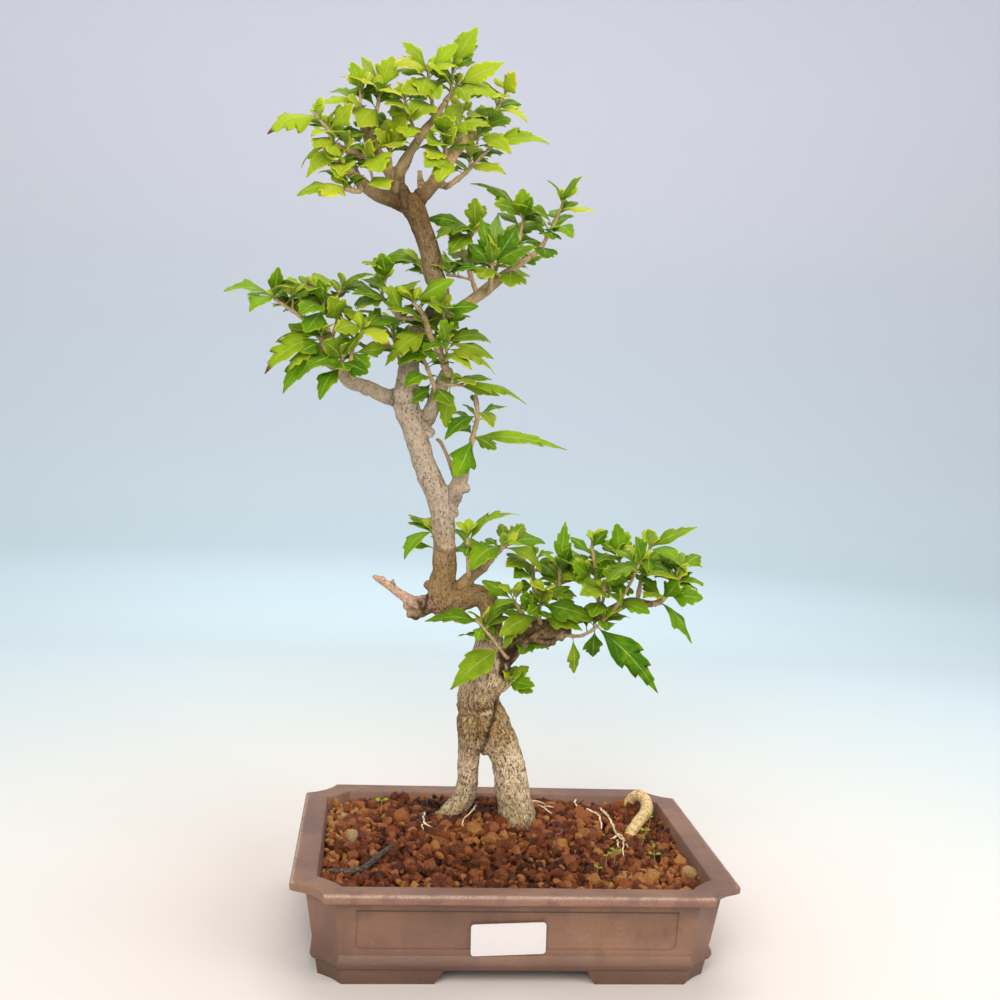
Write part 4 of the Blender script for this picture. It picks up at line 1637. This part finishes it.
def carve_bark(thing, frames, settings, marks=()):
    """Carves plates, creases and marks into the bark, and notes what its finish needs."""
    mesh = thing.data
    rows = places(mesh)
    normals = np.empty(len(rows) * 3)
    mesh.vertex_normals.foreach_get("vector", normals)
    normals = normals.reshape(-1, 3)
    local, girth = bark_places(in_millimetres(rows), frames)
    pits = np.empty(len(rows))
    noise.seed_set(BARK_SEED)
    for i, (place, size) in enumerate(zip(local, girth)):
        rise, pits[i] = bark_relief(place, size, rows[i, 2])
        rows[i] += normals[i] * settings.fissure_depth * rise
    press_marks(rows, normals, pits, marks)
    put(mesh, rows)
    numbers(mesh, "bark", local * MM)
    numbers(mesh, "girth", girth * MM)
    numbers(mesh, "pit", pits)
    return local[:, 2]


def wood(name, routes, knobs, detail, settings, marks=()):
    """Limbs and knobs melted into one solid with carved bark, and how far along its limb each corner is."""
    parts = [tube(f"{name}_limb", eased(route, 3), 4) for route in routes]
    for x, y, z, radius in knobs:
        deselect()
        bpy.ops.mesh.primitive_ico_sphere_add(subdivisions=3, radius=radius * MM, location=spot(x, y, z))
        parts.append(bpy.context.object)
    thing = joined(name, parts)
    pick(thing)
    bpy.ops.object.transform_apply(location=True, rotation=True, scale=True)
    apply_modifier(thing, "REMESH", mode="VOXEL", voxel_size=detail)
    apply_modifier(thing, "SMOOTH", factor=0.5, iterations=5)
    frames = np.vstack([bark_frames(route, 2, number) for number, route in enumerate(routes)])
    along_limb = carve_bark(thing, frames, settings, marks)
    thing.data.shade_smooth()
    return thing, along_limb


class BONSAI_OT_trunk(bpy.types.Operator):
    """Trunk on two legs with its limbs, the root that arches out of the soil, and a fallen twig"""

    bl_idname = "bonsai.make_trunk"
    bl_label = "Trunk and root"

    def execute(self, context):
        settings = context.scene.bonsai_trunk
        routes = list(LIMBS.values())
        trunk, along_limb = wood("trunk_and_limbs", routes, KNOBS, settings.detail, settings, MARKS)
        rows = places(trunk.data)
        cut = np.zeros(len(rows))
        for limb, reach in CUT_ENDS:
            end = np.array(spot(*LIMBS[limb][-1][:3]))
            away = np.linalg.norm(rows - end, axis=1) / MM
            cut = np.maximum(cut, np.clip((reach - away) / 0.8, 0, 1))
        numbers(trunk.data, "cut", cut)
        limb = np.clip(limb_number(along_limb).astype(int), 0, len(LIMBS) - 1)
        share = np.clip((along_limb - LIMB_SPAN * limb) / 9, 0, 1)
        for name, table in (("bare", BARE_LIMBS), ("stain", STAINED_LIMBS)):
            numbers(trunk.data, name, np.array([table.get(key, 0) for key in LIMBS])[limb] * share)
        finished(trunk, [bark_material("bark", settings)], ["trunk"])
        arch, _ = wood("arching_root", [ROOT_ARCH], [], settings.detail, settings)
        finished(arch, [self.root_material()], ["root_arch"])
        twig, _ = wood("dead_fallen_twig", [FALLEN_TWIG], [], TWIG_DETAIL, settings)
        finished(twig, [self.dead_material()], ["fallen_twig"])
        return {"FINISHED"}

    def root_material(self):
        """Ochre root skin with rings and dark specks."""
        r = Recipe("root_skin")
        along = r.warped(r.attribute("bark", "Vector"), 260, 0.002)
        rings = r.grain(1, 3, r.stretched(along, (130, 130, 620)))
        fine = r.grain(900, 4)
        specks = r.rise(r.cells(1, r.stretched(along, (420, 420, 300))), 0.28, 0.12)
        colour = r.blend(r.rise(rings, 0.36, 0.64) * 0.6, (0.82, 0.6, 0.28), (0.44, 0.28, 0.11))
        colour = r.blend(specks * 0.6 + r.rise(fine, 0.5, 0.62) * 0.6, colour, (0.14, 0.08, 0.03))
        return r.finish(colour, 0.7, rings * 0.5 - specks * 0.6 + fine * 0.7, 0.0009)

    def dead_material(self):
        """Almost black wet wood."""
        r = Recipe("dead_wood")
        grain = r.grain(500, 4)
        colour = r.blend(r.rise(grain, 0.4, 0.7), (0.016, 0.01, 0.008), (0.13, 0.075, 0.045))
        return r.finish(colour, 0.35 + grain * 0.4, grain, 0.0006)


def nearest_on_wood(point):
    """The point on the limbs' middles that is nearest to a point, all in millimetres."""
    best = None
    for route in LIMBS.values():
        for a, b in zip(route, route[1:]):
            a, b = Vector(a[:3]), Vector(b[:3])
            share = min(max((point - a).dot(b - a) / (b - a).length_squared, 0), 1)
            place = a.lerp(b, share)
            if best is None or (place - point).length < (best - point).length:
                best = place
    return best


def point_along(route, share):
    """The point at a share of a route, counted in equal steps from point to point."""
    step = share * (len(route) - 1)
    i = min(int(step), len(route) - 2)
    return Vector(route[i][:3]).lerp(Vector(route[i + 1][:3]), step - i)


def rule_leaves(twig, number):
    """Leaves of a shoot that has none listed: spread by the golden angle towards its end."""
    leaves = []
    for k in range(RULE_LEAVES):
        share = 0.45 + 0.55 * k / (RULE_LEAVES - 1)
        angle = k * GOLDEN_ANGLE + number
        rise = 0.2 + 0.8 * chance(number, k, 1) * share
        way = Vector((math.cos(angle), math.sin(angle), rise)).normalized()
        tip = point_along(twig, share) + way * luck_length(RULE_LENGTH, chance(number, k))
        leaves.append((0, share, *tip, UP, RULE_WIDTH))
    return leaves


def settled_tip(root, tip, corners):
    """The leaf's tip as the frame has it, or None where the frame leaves the leaf out."""
    for number, swing in enumerate(SWINGS):
        offset = Matrix.Rotation(swing, 3, "Z") @ (tip - root) * SWING_SHRINK**number
        if corners.find(spot(*(root + offset)))[2] < TIP_GAP * MM:
            return root + offset
    return None


# Half outlines of a blade as (share of its length, share of its half width, how far a tooth leans on)
LOBED = [
    (0, 0.05, 0), (0.08, 0.12, 0), (0.18, 0.24, 0), (0.29, 0.43, 0), (0.39, 0.68, 0), (0.48, 0.91, 0.01),
    (0.55, 1, 0.045), (0.595, 0.84, 0.05), (0.62, 0.6, 0), (0.68, 0.57, 0), (0.745, 0.69, 0.025),
    (0.8, 0.62, 0.045), (0.835, 0.4, 0.01), (0.89, 0.36, 0), (0.95, 0.28, 0.01), (1, 0.06, 0),
]
LONG = [
    (0, 0.05, 0), (0.07, 0.18, 0), (0.14, 0.4, 0), (0.22, 0.66, 0), (0.3, 0.88, 0), (0.38, 1, 0.03),
    (0.43, 0.95, 0.06), (0.455, 0.7, 0), (0.52, 0.64, 0), (0.59, 0.72, 0.03), (0.635, 0.66, 0.05),
    (0.655, 0.42, 0), (0.74, 0.36, 0), (0.81, 0.34, 0.03), (0.86, 0.2, 0), (1, 0.02, 0),
]
YOUNG = [
    (0, 0.08, 0), (0.12, 0.3, 0), (0.3, 0.72, 0), (0.5, 1, 0.02), (0.64, 0.8, 0), (0.8, 0.62, 0.02),
    (1, 0.02, 0),
]
STALK = [(-1, 1, 0), (-0.5, 1, 0)]
# Where the columns of a blade stand, from edge to edge
ACROSS = (-1, -0.52, 0, 0.52, 1)
ACROSS_YOUNG = (-1, 0, 1)


def flat_leaf(name, outline, across):
    """A flat sheet of the right number of rows and columns, and which row and side each corner has."""
    deselect()
    rows = len(outline) + len(STALK)
    bpy.ops.mesh.primitive_grid_add(x_subdivisions=len(across) - 1, y_subdivisions=rows - 1, size=2)
    leaf = bpy.context.object
    leaf.name = name
    found = places(leaf.data)
    row = np.rint((found[:, 1] + 1) / 2 * (rows - 1)).astype(int)
    side = np.array(across)[np.rint((found[:, 0] + 1) / 2 * (len(across) - 1)).astype(int)]
    return leaf, row, side


def leaf_outline(outline, luck):
    """One half of a blade whose teeth are shallower or deeper than the listed ones."""
    rows = np.array(outline, float)
    width = rows[:, 1]
    calm = width.copy()
    calm[2:-2] = (width[:-4] + width[1:-3] + width[2:-2] + width[3:-1] + width[4:]) / 5
    rows[:, 1] = calm + (width - calm) * (0.2 + 0.95 * luck)
    rows[:, 2] *= 0.3 + 1.2 * luck
    return np.vstack([STALK, rows])


def leaf_axes(root, tip, towards):
    """A leaf's own axes: from root to tip, out of its upper face, and across."""
    towards = Vector(towards)
    towards.y -= max(0, root.z - CAMERA_SPOT[2] / MM) / LOOK_DOWN
    chord = (tip - root).normalized()
    up = towards - 0.25 * Vector((chord.x, chord.y, 0))
    up = (up - chord * up.dot(chord)).normalized()
    return chord, up, chord.cross(up)


def blade_bends(share, out, offset, half, length, luck):
    """Where a leaf's points lie across and above its plain arc: folded, waved, twisted, curled, nodding."""
    blade = share >= 0
    fold = (luck[1] - 0.62) * FOLD * abs(offset) ** 1.3 / half**0.3 * (1.1 - 0.5 * share)
    phase = 6.28 * (share * (1.2 + luck[2]) + luck[3]) + np.sign(out) * (1 + luck[4])
    wave = WAVE * half * np.sin(phase) * abs(out) ** 1.5
    lift = np.where(blade, fold + wave, 0)
    reached = np.clip(share, 0, 1)
    curl = CURL * length * (luck[5] - 0.5) * np.sin(3.14 * reached)
    nod = (luck[9] - 0.4) * NOD * length * reached * (1 - reached) ** 0.5
    twist = (luck[6] - 0.5) * TWIST * reached
    turned = offset * np.cos(twist) - lift * np.sin(twist)
    raised = offset * np.sin(twist) + lift * np.cos(twist)
    return turned + curl * blade, raised - nod * blade


def grow_leaf(sheet, root, tip, side, width, number, tint, long=0.0):
    """A copy of the sheet with a blade's outline, bent along its arc with folds and waves of its own."""
    flat, row, edge = sheet
    towards, arch = side
    arch = math.radians(arch)
    chord, up, across = leaf_axes(root, tip, towards)
    reach = (tip - root).length
    radius = reach / (2 * math.sin(arch / 2))
    length = radius * arch
    half = length * width / 220
    stalk = min(PETIOLE_LENGTH / length, 0.25)
    luck = [chance(number, k, 5) for k in range(10)]
    if row.max() + 1 > len(YOUNG) + len(STALK):
        shape = np.array(LOBED) * (1 - long) + np.array(LONG) * long
    else:
        shape = YOUNG
    left, right = leaf_outline(shape, luck[7]), leaf_outline(shape, luck[8])
    share, out, lean = np.where((edge < 0)[:, None], left[row], right[row]).T
    share = share + lean * abs(edge)
    out = out * edge
    place = np.where(share >= 0, stalk + (1 - stalk) * share, stalk * (1 + share))
    offset = np.where(share >= 0, out * half, out * PETIOLE_RADIUS)
    offset, lift = blade_bends(share, out, offset, half, length, luck)
    angle = (place - 0.5) * arch
    rise = radius + lift
    rows = (
        np.array(root)
        + np.outer(reach / 2 + rise * np.sin(angle), np.array(chord))
        + np.outer(rise * np.cos(angle) - radius * math.cos(arch / 2), np.array(up))
        + np.outer(offset, np.array(across))
    )
    rows = rows * MM + np.array(SHIFT)
    low, high = (np.array(c) for c in CAD_BOX)
    rows = np.clip(rows, low + BOX_MARGIN, high - BOX_MARGIN)
    mesh = flat.data.copy()
    put(mesh, rows)
    numbers(mesh, "blade", np.column_stack([share, edge, np.full(len(edge), half * MM)]))
    numbers(mesh, "tint", np.tile(tint, (len(rows), 1)))
    return new_object("leaf", mesh)


class BONSAI_OT_shoots(bpy.types.Operator):
    """Every leafy shoot: its twigs, and its leaves as the frame places them"""

    bl_idname = "bonsai.make_shoots"
    bl_label = "Leafy shoots"

    def execute(self, context):
        settings = context.scene.bonsai_leaf
        self.bark = bark_material("twig_bark", context.scene.bonsai_trunk, moss=False)
        self.blade = [
            leaf_material("leaf_top", settings, under=False),
            leaf_material("leaf_under", settings, under=True),
        ]
        self.sheet = flat_leaf("leaf_sheet", LOBED, ACROSS)
        self.small_sheet = flat_leaf("young_leaf_sheet", YOUNG, ACROSS_YOUNG)
        for number, (name, (twigs, leaves)) in enumerate(SHOOTS.items()):
            self.twigs(name, twigs, number)
            self.leaves(name, twigs, leaves, number, settings)
        for flat in (self.sheet, self.small_sheet):
            bpy.data.objects.remove(flat[0])
        return {"FINISHED"}

    def twigs(self, name, twigs, number):
        """Knotty twigs, some of them running on as a pruned stub past the last leaves."""
        first = Vector(twigs[0][0][:3])
        start = nearest_on_wood(first)
        routes = [list(route) for route in twigs]
        if (start - first).length > 1:
            routes[0].insert(0, (*start, twigs[0][0][3] * 1.2))
        made = []
        for k, route in enumerate(routes):
            end = Vector(route[-1][:3])
            way = (end - Vector(route[-2][:3])).normalized()
            if chance(number, k, 31) > 0.4 and (name, k) not in HIDDEN_ENDS:
                route = [*route, (*(end + way * (3 + 4 * chance(number, k, 32))), route[-1][3])]
            rows = eased(route, 1.5)
            steps = np.arange(len(rows)) + 3 * k
            rows[:, 3] *= 1.0 + 0.2 * (np.sin(steps * 1.1 + number) > 0.75) + 0.05 * np.sin(steps * 2.3)
            rows[0, 3] *= 1.15
            made.append(tube(f"{name}_twig", rows, 2))
            routes[k] = route
        thing = joined(f"{name}_twigs", made)
        frames = np.vstack([bark_frames(route, 1.6, number + k) for k, route in enumerate(routes)])
        local, girth = bark_places(in_millimetres(places(thing.data)), frames)
        numbers(thing.data, "bark", local * MM)
        numbers(thing.data, "girth", girth * MM)
        pits = [max(0, noise.noise(Vector(p) * 0.9) - 0.15) for p in local]
        numbers(thing.data, "pit", pits)
        ends = [np.array(spot(*route[-1][:3])) for route in routes]
        away = np.min([np.linalg.norm(places(thing.data) - end, axis=1) for end in ends], axis=0)
        numbers(thing.data, "cut", np.clip((2.4 * MM - away) / (0.8 * MM), 0, 1))
        smooth(thing, 50)
        finished(thing, [self.bark], [name])

    def leaves(self, name, twigs, leaves, number, settings):
        """The listed leaves, smaller ones among them, and young ones at the twigs' ends."""
        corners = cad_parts[name].data.vertices
        tree = KDTree(len(corners))
        for vertex in corners:
            tree.insert(vertex.co, vertex.index)
        tree.balance()
        grown = []
        for k, (twig, share, x, y, z, side, width) in enumerate(leaves or rule_leaves(twigs[0], number)):
            root = point_along(twigs[twig], share)
            tip = Vector((x, y, z))
            tip = settled_tip(root, tip, tree) or tip
            long = min(max(((tip - root).length - 30) / 14 + 0.5 * chance(number, k, 9), 0), 1)
            tint = self.tint(name, number, k)
            luck = number * SHOOT_NUMBERS + k
            grown.append(grow_leaf(self.sheet, root, tip, side, width, luck, tint, long))
        for t, twig in enumerate(twigs):
            for k in range(settings.inner_leaves):
                grown.append(self.inner(name, twig, number, t, k))
            for k in range(settings.young_leaves):
                grown.append(self.young(twig, number, t, k))
        thing = joined(f"{name}_leaves", grown)
        thing.data.materials.clear()
        for material in self.blade:
            thing.data.materials.append(material)
        apply_modifier(
            thing, "SOLIDIFY", thickness=settings.thickness, offset=0, use_even_offset=False,
            material_offset=1, material_offset_rim=0,
        )
        thing.data.shade_smooth()
        finished(thing, [], [name])

    def tint(self, name, number, k):
        """How yellow, how deep green and how brown at the tip a leaf is."""
        if (name, k) in TINTS:
            return TINTS[name, k]
        luck = chance(number, k, 11)
        high = "crown" in name
        deep = 0.04 + 0.5 * luck**2 if high else 0.35 + 0.6 * luck
        if name in SHADED:
            deep = 0.8 + 0.2 * luck
        yellow = (0.24 if high else 0) + 0.3 * chance(number, k, 12) ** 2
        return (yellow, deep, 0.86 if chance(number, k, 13) > 0.9 else 0)

    def inner(self, name, twig, number, t, k):
        """A leaf inside the shoot's own bounds, mostly behind its twig."""
        low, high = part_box(name)
        share = 0.35 + 0.6 * chance(number, k, 40 + t)
        root = point_along(twig, share)
        angle = k * GOLDEN_ANGLE + 2.4 * t + number
        rise = 0.1 + 0.7 * chance(number, k, 41 + t)
        way = Vector((math.cos(angle), 0.25 + 0.9 * abs(math.sin(angle)), rise)).normalized()
        tip = root + way * luck_length(INNER_LENGTH, chance(number, k, 42 + t))
        place = Vector([min(max(p, a), b) for p, a, b in zip(spot(*tip), low, high)])
        tip = (place - SHIFT) / MM
        if (tip - root).length < INNER_LEAST:
            tip = root + way * INNER_LEAST
        tint = (0.1 * chance(number, k, 43), 0.55 + 0.45 * chance(number, k, 44), 0)
        luck = number * SHOOT_NUMBERS + INNER_NUMBERS + k + 3 * t
        return grow_leaf(self.sheet, root, tip, UP, INNER_WIDTH, luck, tint, 0.2)

    def young(self, twig, number, t, k):
        """A small fresh leaf at the end of a twig."""
        end = Vector(twig[-1][:3])
        way = (end - Vector(twig[-2][:3])).normalized()
        angle = k * GOLDEN_ANGLE + number + t
        out = Vector((math.cos(angle), math.sin(angle) * 0.8, 0.35 + 0.6 * chance(number, k, t)))
        length = luck_length(YOUNG_LENGTH, chance(number, k, t + 3))
        tip = end + (way * 0.6 + out).normalized() * length
        root = end - way * 1.5 * k
        tint = (0.2 + 0.35 * chance(number, k, 21), 0.05, 0)
        luck = number * SHOOT_NUMBERS + YOUNG_NUMBERS + k + 3 * t
        return grow_leaf(self.small_sheet, root, tip, UP, YOUNG_WIDTH, luck, tint)


class BONSAI_PT_panel(bpy.types.Panel):
    """Sizes, colours and buttons"""

    bl_label = "Bonsai"
    bl_idname = "BONSAI_PT_panel"
    bl_space_type = "VIEW_3D"
    bl_region_type = "UI"
    bl_category = "Bonsai"

    def draw(self, context):
        for name, group in SETTINGS.items():
            box = self.layout.box()
            settings = getattr(context.scene, name)
            for key in group.__annotations__:
                box.prop(settings, key)
        for operator in OPERATORS:
            self.layout.operator(operator.bl_idname)


SETTINGS = {
    "bonsai_stage": StageSettings,
    "bonsai_pot": PotSettings,
    "bonsai_soil": SoilSettings,
    "bonsai_trunk": TrunkSettings,
    "bonsai_leaf": LeafSettings,
}
OPERATORS = [
    BONSAI_OT_stage,
    BONSAI_OT_pot,
    BONSAI_OT_small_parts,
    BONSAI_OT_soil,
    BONSAI_OT_litter,
    BONSAI_OT_trunk,
    BONSAI_OT_shoots,
]
CLASSES = [*SETTINGS.values(), *OPERATORS, BONSAI_PT_panel]


def register():
    """Registers the classes and their settings."""
    for item in CLASSES:
        bpy.utils.register_class(item)
    for name, group in SETTINGS.items():
        setattr(bpy.types.Scene, name, PointerProperty(type=group))


def unregister():
    """Takes back what register did."""
    for name in SETTINGS:
        delattr(bpy.types.Scene, name)
    for item in reversed(CLASSES):
        bpy.utils.unregister_class(item)


def main():
    """Builds every piece and writes how large the frame and the dressed object are."""
    register()
    deselect()
    bpy.context.scene.view_settings.view_transform = "Standard"
    for operator in OPERATORS:
        category, name = operator.bl_idname.split(".")
        getattr(getattr(bpy.ops, category), name)()
    deselect()


if __name__ == "__main__":
    main()
